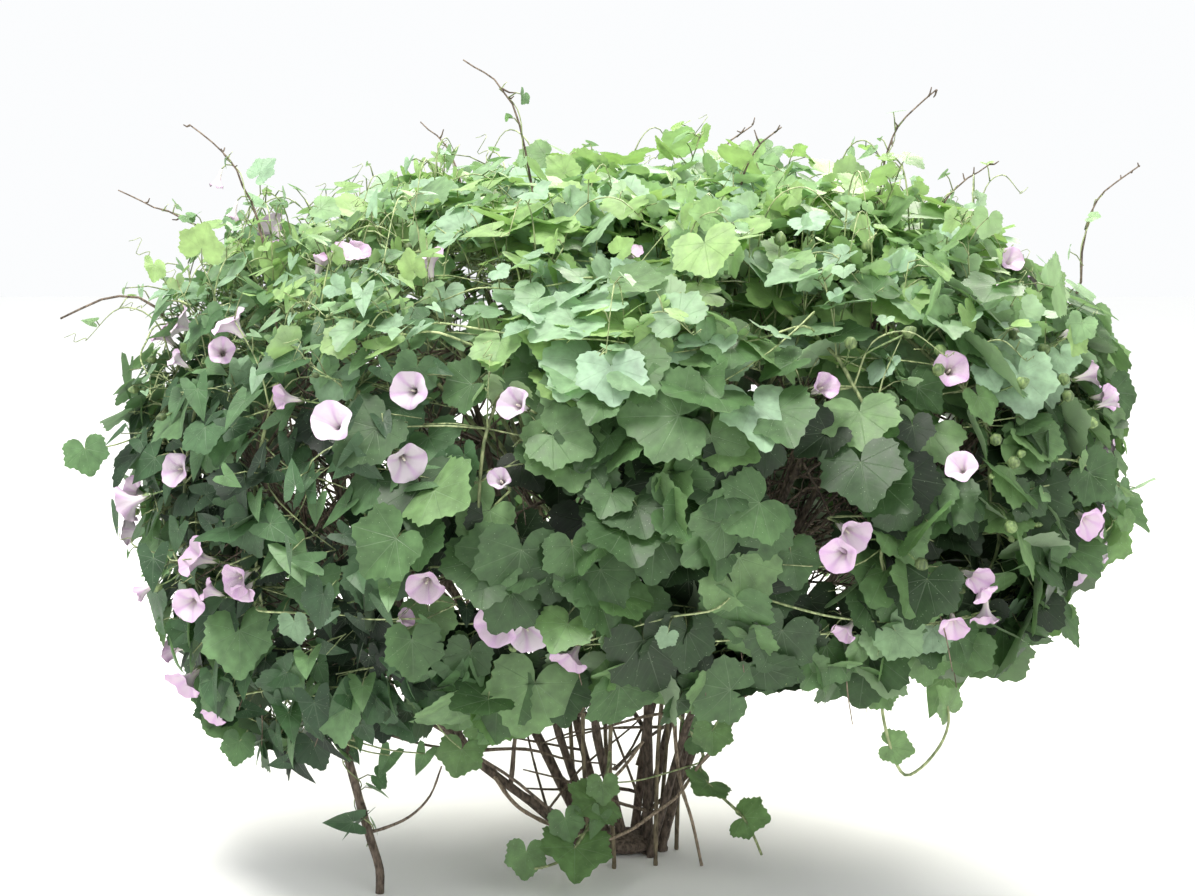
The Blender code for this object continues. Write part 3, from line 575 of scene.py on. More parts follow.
def place_leaves(placed, climbers, rng):
    """Leaves to both sides along every branch, shingled outward and down, each clear of all the rest."""
    leaves = []
    for own, kind, _rods, routes in climbers:
        size = LOBED_LENGTH if kind == "lobed" else ARROW_LENGTH
        own_rods = [t for t, _box, owner in placed.trees if owner == own]
        leafy = own + " leaf"
        for path in routes:
            share = EXTRA_LEAF_SHARE if path[0] == path[1] else 1.0
            travelled = LEAF_STEP * 0.5
            side = 1
            for i in range(2, len(path)):
                a, b = path[i - 1], path[i]
                length = (b - a).length
                while travelled <= length:
                    root = a.lerp(b, travelled / length) if length else a
                    travelled += LEAF_STEP * (0.8 if kind == "arrow" else 1.0) * share
                    side = -side
                    centre = Vector((0, 0, min(root.z, CROWN_MIDDLE + 0.1)))
                    out = (root - centre)
                    out = Vector((out.x / CROWN_WIDE ** 2, out.y / CROWN_DEEP ** 2, out.z * 9)).normalized()
                    along = (b - a).normalized()
                    out = (out - along * out.dot(along)).normalized()
                    for attempt in range(36):
                        scale = size * share * rng.uniform(0.82, 1.12) * (1 - 0.010 * attempt)
                        turn = math.radians(rng.uniform(28, 80) + attempt * 0.6)
                        spot = leaf_spot(root, along, out, side * (1 if attempt % 5 else -1), turn,
                                         rng.uniform(0.10, 0.55), rng)
                        work = blade(kind, spot, scale)
                        tree, box = tree_of(work)
                        work.free()
                        if box[0][2] < 0.004 or placed.hits(tree, box, (own,)):
                            continue
                        if attempt < 24 and sum(len(tree.overlap(t)) for t in own_rods) > 14:
                            continue
                        if any(boxes_meet(box, its_box) and tree.overlap(other)
                               for other, its_box, owner in placed.trees if owner == leafy):
                            continue
                        placed.add(tree, box, leafy)
                        leaves.append((own, kind, spot, scale))
                        break
                travelled -= length
    return leaves


def ray_gap(tree, start, direction, radius):
    """How far the direction runs free from the start, for a rod of that radius."""
    side = direction.orthogonal().normalized()
    other = direction.cross(side)
    best = 1.0
    for k in range(13):
        turn = k * math.pi / 6
        edge = (side * math.cos(turn) + other * math.sin(turn)) * (radius if k < 12 else 0.0)
        hit = tree.ray_cast(start + edge, direction)
        if hit[0] is not None:
            best = min(best, hit[3])
    return best


def place_props(placed, climbers, stems, rng):
    """Twigs of the shrub that reach each climber and end just against it."""
    props = []
    for own, _kind, rods, routes in climbers:
        made = 0
        meshes = [tube(*rod) for rod in rods]
        trees = [tree_of(mesh)[0] for mesh in meshes]
        for mesh in meshes:
            bpy.data.meshes.remove(mesh)
        for attempt in range(1500):
            if made == 3:
                break
            index = rng.randrange(len(routes))
            path = routes[index]
            i = rng.randrange(2, len(path) - 1)
            spot = path[i - 1].lerp(path[i], rng.uniform(0.3, 0.7))
            along = (path[i] - path[i - 1])
            if along.length < 0.02:
                continue
            along.normalize()
            stem = rng.choice(stems)
            start = stem[rng.randrange(4, len(stem))]
            way = (start - spot)
            way = (way - along * way.dot(along)).normalized()
            near_end = spot + way * 0.022
            if not 0.03 < (start - near_end).length < 0.30:
                continue
            free = min(ray_gap(t, near_end, -way, TWIG_RADIUS * 0.7) for t in trees)
            if free > 0.022:
                continue
            end = near_end - way * (free - PROP_GAP)
            twig = [start, start.lerp(near_end, 0.5) + Vector((0, 0, 0.006)), near_end, end]
            tree, box = rod_tree(twig[:3] + [near_end - way * max(0.001, free - 0.0045)], TWIG_RADIUS,
                                 TWIG_RADIUS * 0.7, 4, CLEAR)
            if placed.hits(tree, box, ("shrub",)):
                continue
            placed.add(*rod_tree(twig, TWIG_RADIUS, TWIG_RADIUS * 0.7, 4, CLEAR), "shrub")
            props.append((twig, TWIG_RADIUS * 1.1, TWIG_RADIUS * 0.7, 4))
            made += 1
    return props


def place_twigs(placed, stems, rng, count):
    """Free side twigs of the shrub under the leaves."""
    twigs = []
    for _attempt in range(count * 30):
        if len(twigs) == count:
            break
        stem = rng.choice(stems)
        i = rng.randrange(4, len(stem) - 1)
        start = stem[i]
        run = (stem[i + 1] - stem[i]).normalized()
        side = Vector((rng.uniform(-1, 1), rng.uniform(-1, 1), rng.uniform(0.1, 1.1))).normalized()
        way = (run * 0.7 + side).normalized()
        long = rng.uniform(0.12, 0.24)
        path = [start, start + way * long * 0.5 + Vector((0, 0, 0.008)), start + way * long]
        tree, box = rod_tree(path, TWIG_RADIUS * 1.5, TWIG_RADIUS * 0.8, 4, CLEAR)
        if placed.hits(tree, box, ("shrub",)):
            continue
        placed.add(tree, box, "shrub")
        twigs.append((path, TWIG_RADIUS * 1.5, TWIG_RADIUS * 0.8, 4))
    return twigs


rng = random.Random(SEED)
placed = Placed()
wood_rods, stem_paths = main_wood()
for rod in wood_rods:
    placed.add(*rod_tree(*rod, CLEAR), "shrub")
climbers = place_climbers(placed, rng)
wood_rods += place_props(placed, climbers, stem_paths, rng)
blooms = place_blooms(placed, climbers, rng)
wood_rods += place_twigs(placed, stem_paths, rng, 16)
big_leaves = place_leaves(placed, climbers, rng)


# Bark: grey-brown skin of the shrub, ridged along the stem, with paler corky spots, grown with the wood.
# The same mottling gives the vines' stems their small changes of colour.
mottle = bpy.data.node_groups.new("mottle", "ShaderNodeTree")
mottle.interface.new_socket("Size", in_out="INPUT", socket_type="NodeSocketFloat")
mottle.interface.new_socket("Dark", in_out="INPUT", socket_type="NodeSocketColor")
mottle.interface.new_socket("Light", in_out="INPUT", socket_type="NodeSocketColor")
mottle.interface.new_socket("Colour", in_out="OUTPUT", socket_type="NodeSocketColor")
mottle.interface.new_socket("Height", in_out="OUTPUT", socket_type="NodeSocketFloat")


def maths(tree, operation, first, second=None, third=None):
    """The output of a maths node whose inputs are numbers or other outputs."""
    made = node(tree, "ShaderNodeMath", operation=operation)
    for i, value in enumerate((first, second, third)):
        if value is None:
            continue
        if isinstance(value, (int, float)):
            made.inputs[i].default_value = value
        else:
            tree.links.new(value, made.inputs[i])
    return made.outputs[0]


def blend_colour(tree, share, first, second, how="MIX"):
    """The output of a colour mix whose inputs are numbers, colours or other outputs."""
    made = node(tree, "ShaderNodeMix", data_type="RGBA", blend_type=how)
    sockets = [s for s in made.inputs if s.enabled]
    for socket, value in zip(sockets, (share, first, second)):
        if isinstance(value, (int, float)):
            socket.default_value = value
        elif isinstance(value, tuple):
            socket.default_value = (*value, 1)
        else:
            tree.links.new(value, socket)
    return [s for s in made.outputs if s.enabled][0]


def raise_surface(tree, shader, height, depth):
    """Raises the shader's surface by a height that runs from 0 to 1."""
    bump = node(tree, "ShaderNodeBump")
    bump.inputs["Distance"].default_value = depth
    tree.links.new(height, bump.inputs["Height"])
    tree.links.new(bump.outputs[0], shader.inputs["Normal"])


start = node(mottle, "NodeGroupInput")
end = node(mottle, "NodeGroupOutput")
place = node(mottle, "ShaderNodeTexCoord")
stretched = node(mottle, "ShaderNodeMapping")
stretched.inputs["Scale"].default_value = (1, 1, 0.35)
mottle.links.new(place.outputs["Object"], stretched.inputs["Vector"])
ridges = node(mottle, "ShaderNodeTexNoise")
ridges.inputs["Detail"].default_value = 5
mottle.links.new(stretched.outputs[0], ridges.inputs["Vector"])
mottle.links.new(start.outputs["Size"], ridges.inputs["Scale"])
contrast = maths(mottle, "MULTIPLY_ADD", ridges.outputs["Fac"], 3.0, -1.0)
contrast.node.use_clamp = True
skin = blend_colour(mottle, contrast, start.outputs["Dark"], start.outputs["Light"])
mottle.links.new(skin, end.inputs["Colour"])
mottle.links.new(contrast, end.inputs["Height"])


def mottled_paint(name, dark, light, size, rough, depth):
    """A material with the mottling, dulled or lightened by each part's tone."""
    paint, tree, shader = new_paint(name)
    group = node(tree, "ShaderNodeGroup", node_tree=mottle)
    group.inputs["Size"].default_value = size
    group.inputs["Dark"].default_value = (*dark, 1)
    group.inputs["Light"].default_value = (*light, 1)
    shade = node(tree, "ShaderNodeAttribute", attribute_name="tone")
    dull = blend_colour(tree, shade.outputs["Fac"], (0.45, 0.42, 0.40), (1.25, 1.2, 1.15))
    shaded = blend_colour(tree, 1.0, group.outputs["Colour"], dull, "MULTIPLY")
    tree.links.new(shaded, shader.inputs["Base Color"])
    raise_surface(tree, shader, group.outputs["Height"], depth)
    shader.inputs["Roughness"].default_value = rough
    return paint


# Shrub: one woody plant, its stems cut flat at the ground, branching into fine twigs under the leaves.
# It replaces the plain solid with rounder stems on the same routes, and adds the twigs too fine for it.
ROOT_CROWN_RADIUS = 0.044
ROOT_CROWN_SHAPE = (1.05, 0.70, 0.35)
ROOT_CROWN_LOWEST = 0.008
ROOT_CROWN_RISE = 0.0115
FINE_TWIGS = 400
FINE_TWIG_REACH = 0.30
FINE_TWIG_RADII = (0.0018, 0.0006)
STUB_SHARE = 0.35
STUB_RADII = (0.0014, 0.0007)
SIDE_TWIG = ((-0.283, -0.14, 0.076), (-0.251, -0.16, 0.097), (-0.227, -0.16, 0.122), (-0.213, -0.16, 0.158))
SIDE_TWIG_JOINT_HEIGHT = 0.072
SIDE_TWIG_RADII = (0.0022, 0.0010)
# From here on the draws are for the fine pieces, which the solids don't have
rng = random.Random(7)


class Sheaf:
    """Collects the rods and blades of one piece and makes one mesh of them."""

    def __init__(self):
        self.points = []
        self.faces = []
        self.flat = []
        self.tone = []
        self.count = 0

    def add(self, points, faces, flat, tone):
        """Takes up points with their faces and flat coordinates, and one tone from 0 to 1 for all of them."""
        self.points.append(points)
        self.faces += [tuple(i + self.count for i in face) for face in faces]
        self.flat.append(flat)
        self.tone.append(np.full(len(points), tone))
        self.count += len(points)

    def make(self, name, paint, slot, *nodes):
        """The piece itself, which stands for the CAD nodes that are named."""
        mesh = bpy.data.meshes.new(name)
        mesh.from_pydata(np.concatenate(self.points), [], self.faces)
        corner = np.zeros(len(mesh.loops), np.int32)
        mesh.loops.foreach_get("vertex_index", corner)
        flat = np.concatenate(self.flat).astype(np.float32)
        mesh.uv_layers.new(name="flat").data.foreach_set("uv", flat[corner].ravel())
        tone = mesh.attributes.new("tone", "FLOAT", "POINT")
        tone.data.foreach_set("value", np.concatenate(self.tone).astype(np.float32))
        mesh.shade_smooth()
        mesh.materials.append(paint)
        piece = bpy.data.objects.new(name, mesh)
        bpy.context.scene.collection.objects.link(piece)
        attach(piece, "root")
        if nodes:
            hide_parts(*nodes)
        return piece


def smooth_path(points, steps):
    """A smooth path through points given as tuples or vectors."""
    return [Vector(p) for p in through([Vector(p) for p in points], steps)]


def add_rod(sheaf, path, first, last, sides, tone, knots=0.0):
    """A round rod along a path, tapering, with slight swellings where leaves or buds stood."""
    count = len(path)
    along = np.array([list(p) for p in path])
    run = np.gradient(along, axis=0)
    run /= np.linalg.norm(run, axis=1)[:, None] + 1e-12
    side = np.cross(run, [0.31, 0.17, 0.93])
    side /= np.linalg.norm(side, axis=1)[:, None] + 1e-12
    other = np.cross(run, side)
    part = np.linspace(0, 1, count)
    radius = first + (last - first) * part
    if knots:
        radius = radius * (1 + knots * np.maximum(0, np.sin(np.arange(count) * 1.9)) ** 6)
    turn = np.arange(sides) * 2 * math.pi / sides
    ring = (side[:, None] * np.cos(turn)[None, :, None] + other[:, None] * np.sin(turn)[None, :, None])
    points = (along[:, None] + ring * radius[:, None, None]).reshape(-1, 3)
    points = np.vstack([points, along[0], along[-1]])
    faces = []
    for i in range(count - 1):
        for k in range(sides):
            n = (k + 1) % sides
            faces.append((i * sides + k, i * sides + n, (i + 1) * sides + n, (i + 1) * sides + k))
    low, high = count * sides, count * sides + 1
    for k in range(sides):
        n = (k + 1) % sides
        faces.append((low, n, k))
        faces.append((high, (count - 1) * sides + k, (count - 1) * sides + n))
    lengths = np.concatenate([[0], np.cumsum(np.linalg.norm(np.diff(along, axis=0), axis=1))])
    flat = np.stack([np.tile(turn / 6.283, count), np.repeat(lengths, sides)], 1)
    flat = np.vstack([flat, [0, 0], [0, lengths[-1]]])
    sheaf.add(points, faces, flat, tone)


def random_way(size):
    """A step in any direction, of about the size."""
    return Vector((rng.gauss(0, 1), rng.gauss(0, 1), rng.gauss(0, 1))) * size


def is_whip(path, sides):
    """Whether a rod of the wood is a bare whip, which is thin and ends above the crown."""
    return sides == 4 and path[-1].z > CROWN_TOP


bark_paint = mottled_paint("bark", (0.052, 0.040, 0.031), (0.230, 0.185, 0.148), 260, 0.85, 0.0012)
wood = Sheaf()
for path, first, last, sides in wood_rods:
    route = smooth_path(path, 3)
    on_the_ground = path[0].z < 0.001 or path[-1].z < 0.001
    whip = is_whip(path, sides)
    if not on_the_ground:
        route = [p + random_way(0.0007) for p in route]
        route[0] = path[0].copy()
    add_rod(wood, route, first * (0.75 if whip else 1), last * (0.7 if whip else 1), 10 if sides == 6 else 6,
            0.97 if whip else rng.uniform(0.3, 0.8), 0.14)

# The lump that the stems stand on
ball = bmesh.new()
bmesh.ops.create_uvsphere(ball, u_segments=20, v_segments=10, radius=ROOT_CROWN_RADIUS)
ball.verts.index_update()
wide, deep, tall = ROOT_CROWN_SHAPE
lump = np.array([(v.co.x * wide, v.co.y * deep, max(v.co.z * tall, -ROOT_CROWN_LOWEST) + ROOT_CROWN_RISE)
                 for v in ball.verts])
lump += np.sin(lump * 310)[:, (1, 2, 0)] * np.array((0.002, 0.002, 0.0008))
lump_faces = [tuple(v.index for v in f.verts) for f in ball.faces]
ball.free()
wood.add(lump, lump_faces, lump[:, :2] * 10, 0.4)

# Fine twigs from the stems out to the leaves
stem_routes = [path for path, _first, _last, sides in wood_rods if sides == 6 and path[0].z < 0.001]
for _ in range(FINE_TWIGS):
    route = rng.choice(stem_routes)
    begin = route[rng.randrange(len(route) // 2, len(route))]
    angle = math.degrees(math.atan2(begin.x, -begin.y)) + rng.uniform(-34, 34)
    goal = crown(angle, rng.uniform(0.04, 0.98), rng.uniform(0.015, 0.09))
    way = goal - begin
    if way.length > FINE_TWIG_REACH:
        goal = begin + way * (FINE_TWIG_REACH / way.length)
    bends = [begin.lerp(goal, share) + random_way(0.011) for share in (0.3, 0.55, 0.8)]
    add_rod(wood, smooth_path([begin, *bends, goal], 3), *FINE_TWIG_RADII, 4, rng.uniform(0.1, 0.9), 0.25)

# Bud stubs on the whips, and the leaning stem's side twig
for path, first, last, sides in wood_rods:
    if is_whip(path, sides):
        for at in smooth_path(path, 4)[9:]:
            if rng.random() < STUB_SHARE:
                side = random_way(0.006)
                stub = [at, at + side * 0.5, at + side + Vector((0, 0, 0.004))]
                add_rod(wood, stub, *STUB_RADII, 5, 0.6)
leaning = next(path for path, _first, _last, sides in wood_rods if sides == 6 and path[0].z > 0.001)
low_joint = min(smooth_path(leaning, 4), key=lambda p: abs(p.z - SIDE_TWIG_JOINT_HEIGHT) + 0.5 * (p.x > -0.2))
add_rod(wood, smooth_path((low_joint, *SIDE_TWIG), 4), *SIDE_TWIG_RADII, 6, 0.7, 0.2)
wood.make("shrub_wood", bark_paint, "bark", "shrub")


# Dead stems: pale dry lengths of last year's climbers, caught among the bare wood and under the leaves.
# Most run from one branch to another, and all are only as thick as a straw.
DEAD_ROUTES = (
    ((0.058, -0.060, 0.230), (0.062, -0.066, 0.155), (0.068, -0.068, 0.108), (0.082, -0.066, 0.060),
     (0.094, -0.066, 0.004)),
    ((-0.160, -0.085, 0.130), (-0.135, -0.100, 0.098), (-0.112, -0.108, 0.082), (-0.072, -0.112, 0.064),
     (-0.034, -0.110, 0.050), (0.004, -0.104, 0.060), (0.036, -0.096, 0.080), (0.064, -0.090, 0.100),
     (0.088, -0.084, 0.134), (0.114, -0.080, 0.164)),
    ((-0.098, -0.070, 0.018), (-0.082, -0.080, 0.048), (-0.045, -0.088, 0.090), (-0.004, -0.092, 0.132),
     (0.022, -0.094, 0.168)),
)
DEAD_RADII = (0.0026, 0.0018)
CROSSING_TWIGS = 20
CROSSING_REACH = 0.20
CROSSING_HEIGHTS = (0.02, 0.42)
HANGING_ENDS = 60
HANGING_RADII = (0.0011, 0.0006)
dead_paint = mottled_paint("dead_stem", (0.11, 0.085, 0.062), (0.36, 0.30, 0.23), 420, 0.9, 0.0005)
dead = Sheaf()
for route in DEAD_ROUTES:
    add_rod(dead, smooth_path(route, 6), *DEAD_RADII, 7, 0.7, 0.2)
for _ in range(CROSSING_TWIGS):
    first_stem, other_stem = rng.choice(stem_routes), rng.choice(stem_routes)
    begin = first_stem[rng.randrange(1, len(first_stem) // 2 + 1)] + random_way(0.004)
    goal = other_stem[rng.randrange(len(other_stem) // 3, len(other_stem) * 2 // 3 + 1)]
    goal = begin + (goal - begin) * min(2.6, CROSSING_REACH / (goal - begin).length)
    if begin.z < CROSSING_HEIGHTS[0] or not CROSSING_HEIGHTS[0] <= goal.z <= CROSSING_HEIGHTS[1]:
        continue
    bends = [begin.lerp(goal, share) + random_way(0.007) for share in (0.35, 0.7)]
    thick = rng.uniform(0.0014, 0.0028)
    add_rod(dead, smooth_path([begin, *bends, goal], 4), thick, 0.0009, 6, 0.4 * rng.random(), 0.2)
for _ in range(HANGING_ENDS):
    angle = rng.uniform(0, 360)
    top = crown(angle, rng.uniform(0.75, 0.98), rng.uniform(0.02, 0.10))
    drop = Vector((rng.uniform(-0.03, 0.03), rng.uniform(-0.03, 0.03), -rng.uniform(0.02, 0.10)))
    if top.z + drop.z < 0.03:
        continue
    route = smooth_path([top, top + drop * 0.5 + random_way(0.004), top + drop], 4)
    add_rod(dead, route, *HANGING_RADII, 4, rng.random())
dead.make("dead_stems", dead_paint, "bark")


# Blooms: thin-walled funnels with a five-sided limb, pale lilac pink with a darker star and a white throat.
# Each sits in a green five-part cup on the end of its stalk.
petal_paint, tree, shader = new_paint("petal")
petal_flat = node(tree, "ShaderNodeUVMap", uv_map="flat")
petal_parts = node(tree, "ShaderNodeSeparateXYZ")
tree.links.new(petal_flat.outputs[0], petal_parts.inputs[0])
five_rays = maths(tree, "COSINE", maths(tree, "MULTIPLY", petal_parts.outputs["X"], math.pi * 5))
star = maths(tree, "POWER", maths(tree, "ABSOLUTE", five_rays), 7.0)
lilac = node(tree, "ShaderNodeValToRGB")
tree.links.new(petal_parts.outputs["Y"], lilac.inputs["Fac"])
lilac.color_ramp.elements[0].color = (0.86, 0.88, 0.62, 1)
lilac.color_ramp.elements[1].color = (0.66, 0.46, 0.65, 1)
lilac.color_ramp.elements.new(0.55).color = (0.70, 0.60, 0.68, 1)
lilac.color_ramp.elements.new(0.75).color = (0.66, 0.49, 0.64, 1)
faded = node(tree, "ShaderNodeAttribute", attribute_name="tone")
fading = maths(tree, "MULTIPLY", faded.outputs["Fac"], 0.7)
aged = blend_colour(tree, fading, lilac.outputs["Color"], (0.70, 0.66, 0.70))
starred = blend_colour(tree, maths(tree, "MULTIPLY", star, 0.5), aged, (0.54, 0.30, 0.58))
tree.links.new(starred, shader.inputs["Base Color"])
silk = node(tree, "ShaderNodeTexNoise")
silk.inputs["Scale"].default_value = 300
raise_surface(tree, shader, silk.outputs["Fac"], 0.0004)
shader.inputs["Roughness"].default_value = 0.55
cup_paint = mottled_paint("flower_cup", (0.07, 0.13, 0.05), (0.25, 0.36, 0.14), 300, 0.6, 0.0003)


# The funnel from its base to the limb's edge: radius in flower widths, height in flower lengths
FUNNEL = ((0.004, 0.03), (0.05, 0.05), (0.07, 0.25), (0.11, 0.5), (0.20, 0.70), (0.36, 0.86), (0.46, 0.94),
          (0.5, 0.955))
FUNNEL_SIDES = 40
# One sepal of the cup: across and outward in flower widths, up in flower lengths, from its joint to its point
SEPAL = ((0.0, 0.0, 0.0), (0.075, -0.05, 0.10), (0.075, 0.05, 0.10), (0.115, 0.0, 0.20), (0.10, 0.0, 0.32))
SEPAL_SINK = 0.001


def bloom_sheet(sheaf, spot, wide, long, open_share):
    """The funnel: rings from the base to the limb's edge, which waves in five shallow lobes and leans."""
    sides = FUNNEL_SIDES
    lean, lean_way, ripple = rng.uniform(0.02, 0.14), rng.uniform(0, 6.28), rng.uniform(0, 6.28)
    points, flat = [], []
    for level, (radius, high) in enumerate(FUNNEL):
        part = level / (len(FUNNEL) - 1)
        for k in range(sides):
            turn = k / sides * 2 * math.pi
            lobe = 1 + 0.055 * part ** 3 * math.cos(turn * 5)
            flute = 0.045 * part ** 2 * math.cos(turn * 5 + math.pi)
            flute += 0.022 * part ** 3 * math.sin(turn * 11 + level)
            droop = lean * math.cos(turn - lean_way) + 0.05 * math.cos(turn * 3 + ripple) - 0.03
            flute += part ** 3 * droop
            r = radius * lobe * (1 - (1 - open_share) * part * 0.75) * wide
            points.append(spot @ Vector((r * math.cos(turn), r * math.sin(turn), (high + flute) * long)))
            flat.append((k / sides, part))
    faces = []
    for low in range(0, (len(FUNNEL) - 1) * sides, sides):
        for k in range(sides):
            n = (k + 1) % sides
            faces.append((low + k, low + n, low + sides + n, low + sides + k))
    sheaf.add(np.array([list(p) for p in points]), faces, np.array(flat), rng.random() ** 2)


def flower_cup(sheaf, spot, wide, long):
    """Five pointed sepals around the funnel's base."""
    points = [(x * wide, y * wide, z * long if z else -SEPAL_SINK) for x, y, z in SEPAL]
    for k in range(5):
        turn = Matrix.Rotation(k * 2 * math.pi / 5, 4, "Z")
        world = np.array([list(spot @ (turn @ Vector(p))) for p in points])
        sheaf.add(world, [(0, 1, 3), (0, 3, 2), (1, 4, 3), (3, 4, 2)], np.array(points)[:, :2], rng.random())


def stamens(sheaf, spot, long):
    """The pale column in the throat."""
    route = [spot @ Vector((0, 0, share * long)) for share in (0.06, 0.4, 0.66)]
    add_rod(sheaf, route, 0.0016, 0.0011, 6, 0.2)


OPEN_SHARES = (1.0, 1.0, 0.85, 0.7, 0.5)
cups = Sheaf()
# The balls that the flowers fill, centre and radius, which no leaf may enter
taken = []
for name, _own, _stalk, spot in blooms:
    flower = Sheaf()
    size = rng.uniform(0.74, 0.98)
    bloom_sheet(flower, spot, BLOOM_WIDE * size, BLOOM_LONG * size, rng.choice(OPEN_SHARES))
    stamens(flower, spot, BLOOM_LONG * size)
    taken.append((spot @ Vector((0, 0, BLOOM_LONG * 1.05)), BLOOM_WIDE * 0.52))
    taken.append((spot @ Vector((0, 0, BLOOM_LONG * 0.45)), BLOOM_WIDE * 0.24))
    flower.make(name + "_flower", petal_paint, "petal", name)
    flower_cup(cups, spot, BLOOM_WIDE * size, BLOOM_LONG * size)


# Small blooms and buds: half-open and furled flowers and round green buds, each on its own short stalk
# from the nearest stem. They stand among the leaves all round, most of them on the shaded left.
SMALL_BLOOMS = 46
SMALL_OPEN_SHARES = (1.0, 0.8, 0.55, 0.3)
# The first of the buds are seed capsules, at the right
BUDS = 84
CAPSULES = 16
CAPSULE_SIZE = (0.016, 0.0075)
# A bud's profile: part of its height, part of its width
BUD_PROFILE = ((0, 0.35), (0.12, 0.8), (0.4, 1.0), (0.7, 0.75), (0.9, 0.4), (1, 0.12))
BUD_SIDES = 7
small = Sheaf()
stem_points = [p for _own, _kind, _rods, routes in climbers for r in routes for p in smooth_path(r[2:], 2)]


def stalk_to(base):
    """A stalk from the nearest stem to the base of a flower, and its end's direction."""
    root = min(stem_points, key=lambda p: (p - base).length)
    middle = root.lerp(base, 0.5) + random_way(0.003)
    add_rod(cups, smooth_path([root, middle, base], 3), 0.0010, 0.0011, 5, 0.7)
    return (base - root).normalized()


for _ in range(SMALL_BLOOMS):
    angle = rng.choice((rng.gauss(302, 28), rng.gauss(288, 28), rng.gauss(42, 26), rng.uniform(0, 360)))
    down = rng.uniform(0.12, 0.92)
    base = crown(angle, down, rng.uniform(-0.002, 0.016))
    way = (stalk_to(base) + outward(angle, down) + random_way(0.5)).normalized()
    spot = Matrix.Translation(base) @ aim(way, rng.uniform(0, 6.28))
    size = rng.uniform(0.62, 0.92)
    taken.append((spot @ Vector((0, 0, BLOOM_LONG * size)), BLOOM_WIDE * size * 0.5))
    bloom_sheet(small, spot, BLOOM_WIDE * size, BLOOM_LONG * size, rng.choice(SMALL_OPEN_SHARES))
    flower_cup(cups, spot, BLOOM_WIDE * size, BLOOM_LONG * size)
for number in range(BUDS):
    capsule = number < CAPSULES
    angle = rng.gauss(48, 14) if capsule else rng.uniform(0, 360)
    down = rng.uniform(0.12, 0.7) if capsule else rng.uniform(0.08, 0.9)
    base = crown(angle, down, rng.uniform(-0.016, 0.004) if capsule else rng.uniform(-0.006, 0.012))
    way = stalk_to(base)
    tall, wide = CAPSULE_SIZE if capsule else (rng.uniform(0.009, 0.015), rng.uniform(0.0035, 0.0055))
    if capsule:
        taken.append((base + way * 0.010, 0.012))
    middle_line = [base + way * tall * t for t, _share in BUD_PROFILE]
    add_rod(cups, middle_line, wide, wide, BUD_SIDES, rng.random())
    bud = cups.points[-1]
    for ring, (_t, share) in enumerate(BUD_PROFILE):
        rows = slice(ring * BUD_SIDES, (ring + 1) * BUD_SIDES)
        bud[rows] = np.array(middle_line[ring]) + (bud[rows] - np.array(middle_line[ring])) * share
flower_centres = np.array([list(centre) for centre, _reach in taken])
flower_reach = np.array([reach for _centre, reach in taken])
small.make("small_blooms", petal_paint, "petal")
cups.make("flower_cups", cup_paint, "arrow_leaf")


# Leaf blades: thin green sheets in two outlines, broad lobed and narrow arrowhead, each on its stalk's end.
# No two lie alike: each is folded along its midrib, curls at the tip and waves at the edge by chance.

# Outlines of the two leaf kinds: degrees from the tip, and reach from the stalk joint in leaf lengths
LOBED_REACH = ((0, 1.0), (7, 0.94), (20, 0.86), (36, 0.75), (46, 0.80), (58, 0.89), (68, 0.82), (84, 0.70),
               (96, 0.71), (108, 0.75), (122, 0.67), (140, 0.56), (156, 0.41), (166, 0.18))
ARROW_REACH = ((0, 1.0), (5, 0.86), (12, 0.70), (26, 0.54), (48, 0.42), (80, 0.36), (108, 0.42), (128, 0.55),
               (140, 0.63), (148, 0.58), (157, 0.38), (168, 0.12))


def leaf_grid(reach, samples, teeth, rings):
    """The flat grid of a leaf: rings around the stalk joint, open at the heart of the base."""
    half = np.linspace(0, reach[-1][0], samples)
    reached = np.interp(half, [a for a, _r in reach], [r for _a, r in reach])
    reached = reached * (1 + teeth * np.where(np.arange(samples) % 2, 1.0, -0.7) * (half > 3))
    angles = np.radians(np.concatenate([-half[:0:-1], half]))
    reached = np.concatenate([reached[:0:-1], reached])
    count = len(angles)
    points = [(0.0, 0.0)]
    for ring in rings:
        points += [(ring * r * math.sin(a), ring * r * math.cos(a)) for a, r in zip(angles, reached)]
    faces = [(0, 1 + k + 1, 1 + k) for k in range(count - 1)]
    for ring in range(len(rings) - 1):
        low = 1 + ring * count
        faces += [(low + k, low + k + 1, low + count + k + 1, low + count + k) for k in range(count - 1)]
    return np.array(points), faces


GRIDS = {
    "lobed": leaf_grid(LOBED_REACH, 25, 0.040, (0.52, 1.0)),
    "arrow": leaf_grid(ARROW_REACH, 12, 0.0, (0.55, 1.0)),
}
# The plant's own space: a little past the solids' box on every side but the ground
PAST_THE_BOX = 0.022
FREE_LOW = np.array(cad_box[0]) - PAST_THE_BOX
FREE_LOW[2] = 0.002
FREE_HIGH = np.array(cad_box[1]) + PAST_THE_BOX


